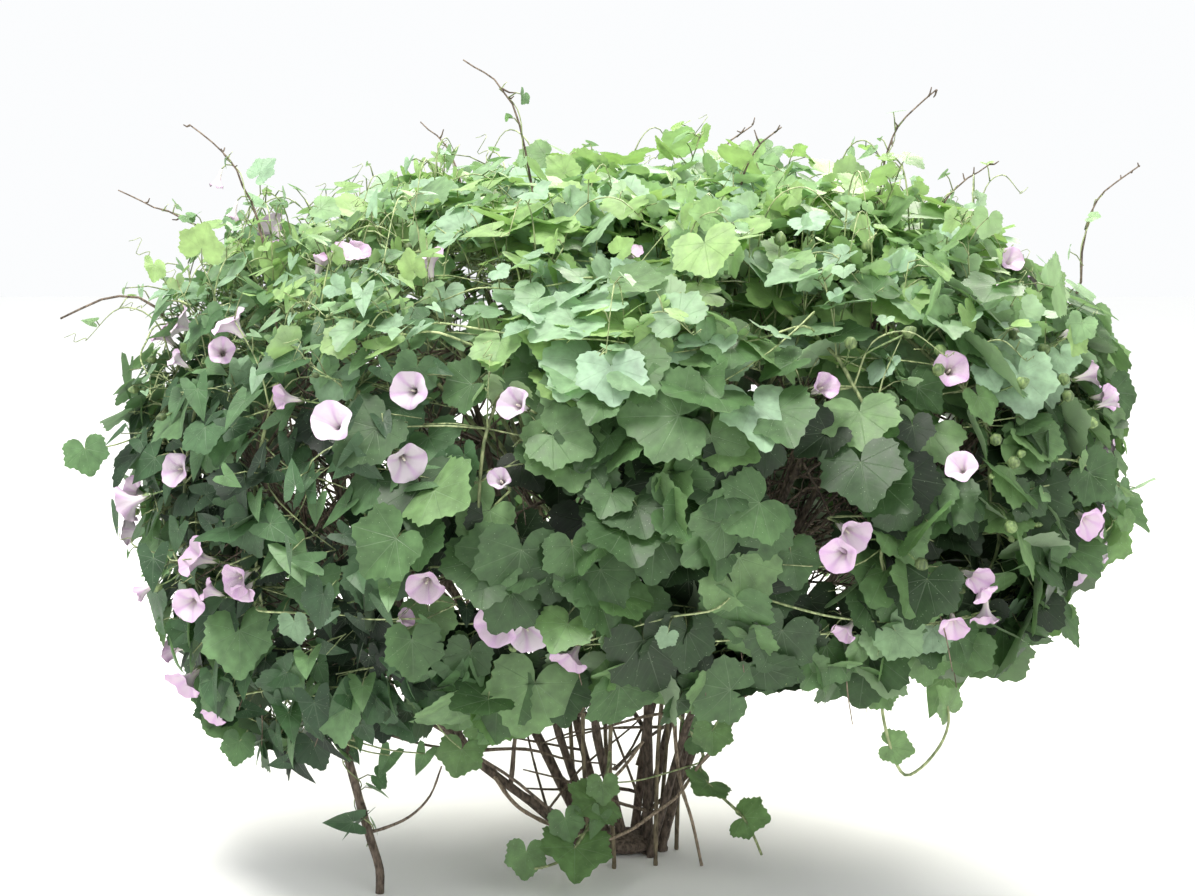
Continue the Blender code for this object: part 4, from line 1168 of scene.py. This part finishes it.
def add_blade(sheaf, kind, joint, tip, face, length, tone):
    """One leaf blade from its stalk joint towards its tip, folded, curled and waved by chance.

    It is left out, and the answer is False, where it would cut a flower or leave the plant's own space.
    """
    grid, faces = GRIDS[kind]
    x, y = grid[:, 0], grid[:, 1]
    far = np.hypot(x, y)
    fold = rng.uniform(0.02, 0.34)
    curl = rng.uniform(0.02, 0.42)
    wave = rng.uniform(0.01, 0.045) if kind == "lobed" else rng.uniform(0.0, 0.03)
    z = fold * np.abs(x) - curl * np.maximum(y, 0) ** 2 * 0.6 - curl * 0.35 * x ** 2
    z = z + wave * far ** 2 * np.sin(np.arctan2(x, y) * 5 + rng.uniform(0, 6.28))
    z = z + rng.uniform(-0.1, 0.1) * x * y
    width = rng.uniform(0.88, 1.1)
    tip = tip.normalized()
    across = tip.cross(face).normalized()
    up = across.cross(tip).normalized()
    points = (np.outer(x * width, across) + np.outer(y, tip) + np.outer(z, up)) * length + np.array(joint)
    if (points < FREE_LOW).any() or (points > FREE_HIGH).any():
        return False
    apart = np.linalg.norm(points[:, None] - flower_centres[None], axis=2)
    if (apart < flower_reach).any():
        return False
    sheaf.add(points, faces, grid, tone)
    return True


# Leaf veins: a midrib and side ribs that spread from the stalk joint, pale and slightly sunk.
# The group reads the flat coordinates of the blade, x across and y towards the tip, in leaf lengths.
veins = bpy.data.node_groups.new("leaf_veins", "ShaderNodeTree")
veins.interface.new_socket("Ribs", in_out="OUTPUT", socket_type="NodeSocketFloat")
out = node(veins, "NodeGroupOutput")
flat = node(veins, "ShaderNodeUVMap", uv_map="flat")
parts = node(veins, "ShaderNodeSeparateXYZ")
veins.links.new(flat.outputs[0], parts.inputs[0])
off = maths(veins, "ABSOLUTE", parts.outputs["X"])
ahead = parts.outputs["Y"]
# The midrib and the side ribs: angle from the tip, half width at the joint
RIBS = ((0, 0.022), (33, 0.014), (62, 0.016), (104, 0.012))
THINNEST_RIB = 0.002
FINE_RIBS_A_LENGTH = 46.0
ribs = None
for angle, thick in RIBS:
    sine, cosine = math.sin(math.radians(angle)), math.cos(math.radians(angle))
    off_cosine = maths(veins, "MULTIPLY", off, cosine)
    ahead_sine = maths(veins, "MULTIPLY", ahead, sine)
    aside = maths(veins, "ABSOLUTE", maths(veins, "SUBTRACT", off_cosine, ahead_sine))
    along = maths(veins, "ADD", maths(veins, "MULTIPLY", off, sine), maths(veins, "MULTIPLY", ahead, cosine))
    width = maths(veins, "MAXIMUM", maths(veins, "MULTIPLY_ADD", along, -thick * 0.8, thick), THINNEST_RIB)
    line = maths(veins, "SUBTRACT", 1.0, maths(veins, "DIVIDE", aside, width))
    forward = maths(veins, "GREATER_THAN", along, 0.0)
    line = maths(veins, "MINIMUM", maths(veins, "MAXIMUM", line, 0.0), forward)
    ribs = line if ribs is None else maths(veins, "MAXIMUM", ribs, line)
slant = maths(veins, "MULTIPLY", maths(veins, "MULTIPLY_ADD", off, -0.8, ahead), FINE_RIBS_A_LENGTH)
waves = maths(veins, "COSINE", maths(veins, "MULTIPLY", slant, 0.5))
fine = maths(veins, "POWER", maths(veins, "ABSOLUTE", waves), 22.0)
ribs = maths(veins, "MAXIMUM", ribs, maths(veins, "MULTIPLY", fine, 0.10))
veins.links.new(ribs, out.inputs["Ribs"])


# How much of the light goes through a blade, and how much yellower and lighter it comes out
THROUGH_SHARE = 0.26
THROUGH_TINT = (1.7, 1.8, 1.25)


def leaf_paint(name, ramp, under):
    """A leaf's material: its colour follows the leaf's tone, with painted shade and a painted sheen in it;
    the veins are paler, the underside dull.
    """
    paint, tree, shader = new_paint(name)
    # The tone's colours hold the leaf's age, painted shade at their dark end and a painted silvery sheen at
    # 0.72
    age_and_painted_light = node(tree, "ShaderNodeAttribute", attribute_name="tone")
    age_and_painted_light_colours = node(tree, "ShaderNodeValToRGB")
    tree.links.new(age_and_painted_light.outputs["Fac"], age_and_painted_light_colours.inputs["Fac"])
    age_and_painted_light_colours.color_ramp.elements[0].color = (*ramp[0][1], 1)
    age_and_painted_light_colours.color_ramp.elements[1].position = ramp[-1][0]
    age_and_painted_light_colours.color_ramp.elements[1].color = (*ramp[-1][1], 1)
    for tone, colour in ramp[1:-1]:
        age_and_painted_light_colours.color_ramp.elements.new(tone).color = (*colour, 1)
    group = node(tree, "ShaderNodeGroup", node_tree=veins)
    place = node(tree, "ShaderNodeTexCoord")
    blotch = node(tree, "ShaderNodeTexNoise")
    blotch.inputs["Scale"].default_value = 70
    blotch.inputs["Detail"].default_value = 4
    tree.links.new(place.outputs["Object"], blotch.inputs["Vector"])
    patch = maths(tree, "MULTIPLY_ADD", blotch.outputs["Fac"], 1.2, 0.36)
    mottled = blend_colour(tree, 1.0, age_and_painted_light_colours.outputs["Color"], patch, "MULTIPLY")
    specks = node(tree, "ShaderNodeTexVoronoi")
    specks.inputs["Scale"].default_value = 210
    tree.links.new(place.outputs["Object"], specks.inputs["Vector"])
    speck = maths(tree, "LESS_THAN", specks.outputs["Distance"], 0.085)
    base = blend_colour(tree, maths(tree, "MULTIPLY", speck, 0.5), mottled, under)
    ribbed = blend_colour(tree, maths(tree, "MULTIPLY", group.outputs["Ribs"], 0.22), base, under)
    back = node(tree, "ShaderNodeNewGeometry")
    pale = blend_colour(tree, 0.55, base, under)
    tree.links.new(blend_colour(tree, back.outputs["Backfacing"], ribbed, pale), shader.inputs["Base Color"])
    rough = maths(tree, "MULTIPLY_ADD", blotch.outputs["Fac"], 0.25, 0.38)
    tree.links.new(rough, shader.inputs["Roughness"])
    sunk_ribs = maths(tree, "MULTIPLY", group.outputs["Ribs"], -0.30)
    height = maths(tree, "MULTIPLY_ADD", blotch.outputs["Fac"], 0.5, sunk_ribs)
    raise_surface(tree, shader, height, 0.0011)
    through_light = node(tree, "ShaderNodeBsdfTranslucent")
    tree.links.new(blend_colour(tree, 1.0, base, THROUGH_TINT, "MULTIPLY"), through_light.inputs["Color"])
    thin_blade = node(tree, "ShaderNodeMixShader")
    thin_blade.inputs["Fac"].default_value = THROUGH_SHARE
    tree.links.new(shader.outputs["BSDF"], thin_blade.inputs[1])
    tree.links.new(through_light.outputs["BSDF"], thin_blade.inputs[2])
    tree.links.new(thin_blade.outputs[0], tree.nodes["Material Output"].inputs["Surface"])
    return paint


# Climbers: soft green stems that twine over the crown, with a leaf on a thin stalk at every joint.
# Each grows from its own foot on the ground; its side shoots and leaves are all of one piece with it.

# Leaf colours by tone: from painted deep shade (0) over a painted silvery sheen of the sky (0.72) to the
# youngest (1)
LOBED_COLOURS = (
    (0.0, (0.012, 0.028, 0.010)), (0.12, (0.036, 0.078, 0.028)), (0.36, (0.088, 0.172, 0.066)),
    (0.58, (0.160, 0.275, 0.108)), (0.72, (0.34, 0.49, 0.36)), (0.84, (0.225, 0.365, 0.125)),
    (1.0, (0.32, 0.47, 0.19)),
)
ARROW_COLOURS = (
    (0.0, (0.010, 0.024, 0.012)), (0.12, (0.030, 0.068, 0.032)), (0.36, (0.070, 0.146, 0.066)),
    (0.58, (0.132, 0.240, 0.104)), (0.72, (0.32, 0.47, 0.34)), (0.83, (0.215, 0.35, 0.125)),
    (1.0, (0.31, 0.45, 0.19)),
)
lobed_paint = leaf_paint("lobed_leaf", LOBED_COLOURS, (0.42, 0.54, 0.36))
arrow_paint = leaf_paint("arrow_leaf", ARROW_COLOURS, (0.38, 0.50, 0.34))
stem_paint = mottled_paint("vine_stem", (0.10, 0.15, 0.06), (0.42, 0.50, 0.26), 180, 0.55, 0.0003)
# The way along a stem from leaf to leaf and from one bunch of side shoots to the next
LEAF_EVERY = 0.030
SHOOT_EVERY = {"lobed": 0.037, "arrow": 0.024}
SHOOT_LENGTH = (0.06, 0.19)
# The share of lobed leaves among the arrowhead ones; the least, greatest and usual length of each kind
OTHER_KIND_SHARE = 0.28
LEAF_SIZES = {"lobed": (0.026, 0.070, 0.046), "arrow": (0.018, 0.052, 0.031)}
# The young top, which is also painted lighter, reaches this far down the crown, and no leaf comes nearer to
# the ground than this
TOP_SHARE = 0.48
LOWEST_LEAF = 0.006
# How thick each thin part is where it starts and where it ends
SIDE_SHOOT_RADII = (0.0013, 0.0007)
SPRIG_RADII = (0.0013, 0.0006)
RUNNER_RADII = (0.0014, 0.0008)
ARCH_RADII = (0.0012, 0.0006)
LEAF_STALK_RADII = (0.0010, 0.0007)
LOOSE_STALK_RADII = (0.0012, 0.0008)
BLOOM_STALK_RADII = (0.0013, 0.0015)
TENDRIL_RADII = (0.0007, 0.0004)
# How often a runner starts at a point of a branch, and a sprig or an arch at a bunch of side shoots
RUNNER_CHANCE = 0.040
SPRIG_CHANCE = 0.85
ARCH_CHANCE = 0.42


def in_space(path):
    """Whether the whole path keeps to the plant's own space."""
    points = np.array([list(p) for p in path])
    return bool((points > FREE_LOW).all() and (points < FREE_HIGH).all())


def crown_spot(point):
    """The angle and way down of a point near the crown's surface."""
    angle = math.degrees(math.atan2(point.x / CROWN_WIDE, -point.y / CROWN_DEEP))
    best = min((d / 24 for d in range(25)), key=lambda d: (crown(angle, d) - point).length)
    return angle, best


def dress(stems, blades, kind, root, out, down, deep, scale=1.0, age_and_light_tone=None):
    """A leaf on its stalk: the stalk leaves the stem outward and the blade hangs from its end.

    A leaf deep inside the crown is painted darker as shade; one near the top is smaller, younger, lies
    flatter and is painted lighter for the light from above.
    """
    top = max(0.0, 1 - down / TOP_SHARE)
    if kind == "arrow" and rng.random() < OTHER_KIND_SHARE:
        kind = "lobed"
        scale *= 0.85
    length = rng.triangular(*LEAF_SIZES[kind]) * (1 - 0.28 * top) * scale
    stalk = (rng.uniform(0.012, 0.034) + 0.024 * top * rng.random()) * scale
    reach = out * stalk + random_way(0.009 * scale) + Vector((0, 0, 0.010 * top))
    joint = root + reach
    face = (out + Vector((0, 0, 0.55 + 0.25 * top)) + random_way(0.42 + 0.25 * top)).normalized()
    hang = Vector((0, 0, -1)) * (1.0 - 0.75 * top) + out * (0.35 + 0.4 * top)
    hang += random_way(0.55 if kind == "lobed" else 0.95)
    hang = (hang - face * hang.dot(face)).normalized()
    if joint.z + hang.z * length < LOWEST_LEAF or joint.z < LOWEST_LEAF + 0.3 * length:
        return
    # Near the top the tone rises, partly for younger leaves and partly as painted light from above; a random
    # share of top leaves rises 0.28 further, through the painted silvery sheen
    if age_and_light_tone is None:
        age_and_light_tone = 0.05 + rng.random() * 0.55 + 0.50 * top ** 0.6 + (0.28 if rng.random() < 0.24 * top else 0.0)
    # Painted shade: a leaf set deeper into the crown is darkened, much less so near the top
    tone = min(1.0, max(0.0, age_and_light_tone - deep * (6.0 if top == 0 else 1.5)))
    if add_blade(blades, kind, joint, hang, face, length, tone):
        bend = root + reach * 0.5 + Vector((0, 0, 0.004))
        add_rod(stems, [root, bend, joint], *LEAF_STALK_RADII, 3, 0.3 + 0.6 * rng.random())


def add_tendril(stems, begin, way, size):
    """A fine coil feeling its way out from a shoot's end."""
    route = [begin]
    for k in range(1, 10):
        turn = k * 1.15
        coil = Vector((math.cos(turn), math.sin(turn), math.cos(turn)))
        route.append(route[-1] + way * size * 0.5 + coil * size * 0.7)
    if in_space(route):
        add_rod(stems, route, *TENDRIL_RADII, 3, 0.95)


def side_shoot(stems, blades, kind, root, angle, down):
    """A thin shoot that creeps over the crown from a stem, with leaves to both sides."""
    long = rng.uniform(*SHOOT_LENGTH)
    swing = rng.choice((-1, 1)) * rng.uniform(6, 24)
    drop = rng.uniform(-0.06, 0.18)
    # How far in the shoot lies; dress also paints its leaves darker by this depth, as shade
    deep = rng.choice((-0.004, 0.0, 0.012, 0.03, 0.06, 0.11))
    route = [root]
    for step in (0.35, 0.7, 1.0):
        level = min(0.90 + 0.11 * math.sin(angle * 0.31) ** 2, max(0.02, down + drop * step))
        inward = 0.022 + deep + rng.uniform(-0.014, 0.010)
        route.append(crown(angle + swing * step / (0.4 + down), level, inward))
    total = sum((b - a).length for a, b in zip(route, route[1:]))
    if total > long:
        route = [root] + [root + (p - root) * (long / total) for p in route[1:]]
    route = smooth_path(route, 3)
    add_rod(stems, route, *SIDE_SHOOT_RADII, 3, rng.uniform(0.4, 1.0))
    gap = 0.0
    for a, b in zip(route, route[1:]):
        gap += (b - a).length
        if gap > LEAF_EVERY * rng.uniform(0.6, 1.1):
            gap = 0.0
            spot_angle, spot_down = crown_spot(b)
            dress(stems, blades, kind, b, outward(spot_angle, spot_down), spot_down, deep)
    if rng.random() < 0.25:
        add_tendril(stems, route[-1], outward(angle, down), rng.uniform(0.004, 0.009))


def top_sprig(stems, blades, kind, root):
    """A young shoot that stands up out of the top, with small yellow-green leaves and often a tendril."""
    rise = rng.triangular(0.03, 0.115, 0.06)
    lean = random_way(0.035)
    lean.z = 0
    middle = root + Vector((0, 0, rise * 0.5)) + lean * 0.3
    route = smooth_path([root, middle, root + Vector((0, 0, rise)) + lean], 4)
    add_rod(stems, route, *SPRIG_RADII, 4, rng.uniform(0.7, 1.0))
    for p in route[2:]:
        if rng.random() < 0.75:
            out = random_way(1.0)
            out.z = abs(out.z) * 0.4
            dress(stems, blades, kind, p, out.normalized(), 0.1, 0.0, rng.uniform(0.45, 0.95),
                  rng.uniform(0.55, 1.0))
    if rng.random() < 0.6:
        add_tendril(stems, route[-1], Vector((lean.x * 8, lean.y * 8, 0.7)), rng.uniform(0.005, 0.011))


def runner(stems, blades, kind, root, angle, down):
    """A long pale shoot that lies across the face of the crown, with a few small young leaves and coils."""
    swing = rng.choice((-1, 1)) * rng.uniform(18, 42)
    drop = rng.uniform(-0.04, 0.24)
    route = [root]
    for step in (0.2, 0.4, 0.6, 0.8, 1.0):
        level = min(0.9, max(0.05, down + drop * step))
        route.append(crown(angle + swing * step, level, -0.004 + rng.uniform(-0.010, 0.010)))
    route = smooth_path(route, 4)
    if not in_space(route):
        return
    add_rod(stems, route, *RUNNER_RADII, 4, 1.0)
    for p in route[5::3]:
        spot_angle, spot_down = crown_spot(p)
        if rng.random() < 0.55:
            dress(stems, blades, kind, p, outward(spot_angle, spot_down), spot_down, 0.0,
                  rng.uniform(0.35, 0.65), rng.uniform(0.50, 0.80))
        if rng.random() < 0.16:
            way = outward(spot_angle, spot_down) * 0.5 + random_way(0.5)
            add_tendril(stems, p, way, rng.uniform(0.003, 0.006))


def arch(stems, blades, kind, root):
    """A thin young shoot that rises out of the top and bends over, with small leaves and a coil."""
    rise, reach = rng.uniform(0.045, 0.125), rng.uniform(0.05, 0.14)
    turn = rng.uniform(0, 2 * math.pi)
    side = Vector((math.cos(turn), math.sin(turn), 0)) * reach
    bends = ((0, 0), (0.2, 0.8), (0.6, 1), (1, rng.uniform(0.3, 0.9)))
    route = smooth_path([root + side * out + Vector((0, 0, rise * up)) for out, up in bends], 5)
    if not in_space(route):
        return
    add_rod(stems, route, *ARCH_RADII, 4, rng.uniform(0.7, 1.0))
    for p in route[4::3]:
        if rng.random() < 0.6:
            out = random_way(1.0)
            dress(stems, blades, kind, p, out.normalized(), 0.1, 0.0, rng.uniform(0.3, 0.6),
                  rng.uniform(0.62, 1.0))
    add_tendril(stems, route[-1], (side.normalized() + Vector((0, 0, 0.4))) * 0.8, rng.uniform(0.003, 0.007))


def top_shoot(stems, blades, kind, root, angle):
    """A shoot that crosses the middle of the crown's top, so that the leaves close over it."""
    goal = crown(angle + 180 + rng.uniform(-60, 60), rng.uniform(0.02, 0.20), 0.012 + rng.uniform(0, 0.03))
    middle = root.lerp(goal, 0.5) + Vector((0, 0, 0.012)) + random_way(0.012)
    route = smooth_path([root, middle, goal], 8)
    add_rod(stems, route, *SIDE_SHOOT_RADII, 4, rng.uniform(0.5, 1.0))
    gap = 0.0
    for a, b in zip(route, route[1:]):
        gap += (b - a).length
        if gap > LEAF_EVERY * rng.uniform(0.5, 0.9):
            gap = 0.0
            out = (Vector((0, 0, 1)) + random_way(0.45)).normalized()
            # Some of these leaves get a little painted shade, as if they lay deeper in
            dress(stems, blades, kind, b, out, 0.12, rng.choice((0.0, 0.03)))


def clothe(stems, blades, kind, path):
    """Leaves, side shoots, runners, sprigs and arches all along one branch of a climber."""
    route = smooth_path(path, 4)
    gap, since = 0.0, 0.0
    for start in (route[5], route[8], route[12]):
        top_shoot(stems, blades, kind, start, crown_spot(start)[0])
    for a, b in zip(route[6:], route[7:]):
        gap += (b - a).length
        since += (b - a).length
        angle, down = crown_spot(b)
        if rng.random() < RUNNER_CHANCE:
            runner(stems, blades, kind, b, angle, down)
        if gap > LEAF_EVERY:
            gap = 0.0
            dress(stems, blades, kind, b, outward(angle, down), down, 0.0)
        if since > SHOOT_EVERY[kind]:
            since = 0.0
            for _ in range(3 if down > 0.3 else 2):
                side_shoot(stems, blades, kind, b, angle, down)
            if down < TOP_SHARE and rng.random() < SPRIG_CHANCE:
                top_sprig(stems, blades, kind, b)
            if down < TOP_SHARE and rng.random() < ARCH_CHANCE:
                arch(stems, blades, kind, b)


# Leaves that stand away from the rest: at the far left, by the leaning stem, under the hem and by the root.
# Each has its kind, its stalk joint and its length.
LOOSE_LEAVES = {
    "vine_05": (("lobed", (-0.635, -0.06, 0.515), 0.034), ("lobed", (-0.511, -0.12, 0.315), 0.034),
                ("lobed", (-0.482, -0.10, 0.236), 0.036), ("arrow", (-0.40, -0.12, 0.185), 0.034)),
    "vine_06": (("lobed", (-0.450, -0.14, 0.182), 0.030), ("arrow", (-0.327, -0.12, 0.185), 0.034),
                ("arrow", (-0.275, -0.14, 0.165), 0.030), ("arrow", (-0.233, -0.15, 0.170), 0.028),
                ("arrow", (-0.300, -0.13, 0.230), 0.034)),
    "vine_01": (("lobed", (-0.190, -0.15, 0.175), 0.034), ("lobed", (-0.165, -0.14, 0.200), 0.030),
                ("lobed", (-0.115, -0.17, 0.058), 0.034), ("lobed", (-0.070, -0.15, 0.092), 0.030),
                ("lobed", (-0.026, -0.12, 0.125), 0.027), ("arrow", (-0.030, -0.14, 0.090), 0.030)),
    "vine_02": (("arrow", (0.371, -0.15, 0.262), 0.052), ("lobed", (0.102, -0.14, 0.195), 0.030)),
}
# The low shoots hang lower than the crown: their leaves below this height turn to the front
LOW_SHOOT_HEIGHT = 0.13
LOW_LEAF_REACH = 0.05


def low_leaf_scale(x):
    """The size of a big leaf on a low shoot beside the solid's: less towards the right."""
    return 0.9 if x < 0 else 0.62 if x < 0.22 else 0.46


def low_shoot_leaves(blades, own, path):
    """The solids' own big leaves on a low or hanging shoot."""
    for owner, leaf_kind, spot, length in big_leaves:
        joint = spot.translation
        if owner != own or min((p - joint).length for p in path[2:]) >= LOW_LEAF_REACH:
            continue
        tip, face = spot.to_3x3().col[1], spot.to_3x3().col[2]
        if joint.z < LOW_SHOOT_HEIGHT:
            tip = (tip + Vector((0, -0.7, 0.1))).normalized()
            face = (face + Vector((0, -0.9, 0.5))).normalized()
        length *= low_leaf_scale(joint.x)
        add_blade(blades, leaf_kind, joint, tip, face, length, rng.uniform(0.3, 0.6))


def loose_leaf(stems, blades, kind, joint, length):
    """A leaf away from the rest, on a stalk from the nearest stem above it."""
    root = min((p for p in stem_points if p.z > joint.z + 0.008), key=lambda p: (p - joint).length)
    bend = root.lerp(joint, 0.6) + Vector((0, 0, -0.006))
    add_rod(stems, smooth_path([root, bend, joint], 4), *LOOSE_STALK_RADII, 4, 0.8)
    hang = Vector((rng.uniform(-0.5, 0.5), -0.35, -1))
    add_blade(blades, kind, joint, hang, Vector((0, -1, 0.35)), length, rng.uniform(0.35, 0.55))


trunk_paint = mottled_paint("old_vine_stem", (0.085, 0.070, 0.045), (0.30, 0.26, 0.17), 240, 0.8, 0.0005)
trunks = Sheaf()
for own, kind, rods, routes in climbers:
    stems, blades = Sheaf(), Sheaf()
    for path, first, last, _sides in rods:
        old = path[0].z < 0.001
        add_rod(trunks if old else stems, smooth_path(path, 3), first * (0.8 if old else 1), last, 7,
                rng.uniform(0.3, 0.7), 0.12)
    for _name, owner, stalk, _spot in blooms:
        if owner == own:
            add_rod(stems, smooth_path(stalk, 3), *BLOOM_STALK_RADII, 6, 0.6)
    for path in routes:
        if path[0] == path[1]:
            low_shoot_leaves(blades, own, path)
        else:
            clothe(stems, blades, kind, path)
    for loose_kind, place, length in LOOSE_LEAVES.get(own, ()):
        loose_leaf(stems, blades, loose_kind, Vector(place), length)
    stems.make(own + "_stems", stem_paint, kind + "_leaf", own)
    blades.make(own + "_leaves", lobed_paint if kind == "lobed" else arrow_paint, kind + "_leaf")
trunks.make("vine_trunks", trunk_paint, "bark")


# Whip growth: the shrub's bare whips and its leaning stem carry the thin ends of climbers, with small leaves,
# and on the tall whips at the left a few faded blooms hang limp.
WHIP_CLIMBER_RADII = (0.0009, 0.0006)
CREEPER_RADII = (0.0011, 0.0007)
LIMP_STALK_RADII = (0.0008, 0.0008)
LIMP_SIZE = 0.55
LIMP_OPEN_SHARE = 0.45


def wound(path, pitch, radius):
    """A path that winds around another one."""
    return [p + Vector((math.cos(i * pitch), math.sin(i * pitch), 0)) * radius for i, p in enumerate(path)]


whip_green, whip_leaves, limp = Sheaf(), Sheaf(), Sheaf()
for path, _first, _last, sides in wood_rods:
    if not is_whip(path, sides):
        continue
    route = smooth_path(path, 4)
    climb = route[len(route) // 4:len(route) - 5]
    add_rod(whip_green, smooth_path(wound(climb, 1.3, 0.0035), 2), *WHIP_CLIMBER_RADII, 4, 0.9)
    for p in climb[::2]:
        out = random_way(1.0)
        out.z = abs(out.z) * 0.3
        if rng.random() < 0.62:
            dress(whip_green, whip_leaves, "arrow", p, out.normalized(), 0.1, 0.0, rng.uniform(0.32, 0.62),
                  rng.uniform(0.5, 0.95))
    if rng.random() < 0.5:
        add_tendril(whip_green, climb[-1], Vector((0.3, -0.3, 0.4)), 0.005)
    if path[0].x < -0.05 and path[-1].z > 0.84:
        for at in (climb[-2], climb[-5]):
            side = Vector((-0.012, -0.006, -0.004))
            droop = aim(Vector((-0.3, -0.2, -1)).normalized(), rng.uniform(0, 6))
            stalk = [at, at + side * 0.6 + Vector((0, 0, 0.003)), at + side]
            add_rod(whip_green, stalk, *LIMP_STALK_RADII, 4, 0.8)
            bloom_sheet(limp, Matrix.Translation(at + side) @ droop, BLOOM_WIDE * LIMP_SIZE,
                        BLOOM_LONG * LIMP_SIZE, LIMP_OPEN_SHARE)
creep = [p for p in smooth_path(leaning, 4) if 0.05 < p.z < 0.33 and p.x < -0.2]
creep = wound(creep, 1.1, 0.0075)
add_rod(whip_green, smooth_path(creep, 2), *CREEPER_RADII, 4, 0.8)
for p in creep[2::2]:
    out = Vector((rng.uniform(-1, 1), rng.uniform(-1, 0.2), 0.1)).normalized()
    dress(whip_green, whip_leaves, "arrow", p, out, 0.9, 0.0, rng.uniform(0.6, 0.95), rng.uniform(0.12, 0.5))
whip_green.make("whip_climbers", stem_paint, "arrow_leaf")
whip_leaves.make("whip_leaves", arrow_paint, "arrow_leaf")
limp.make("faded_blooms", petal_paint, "petal")
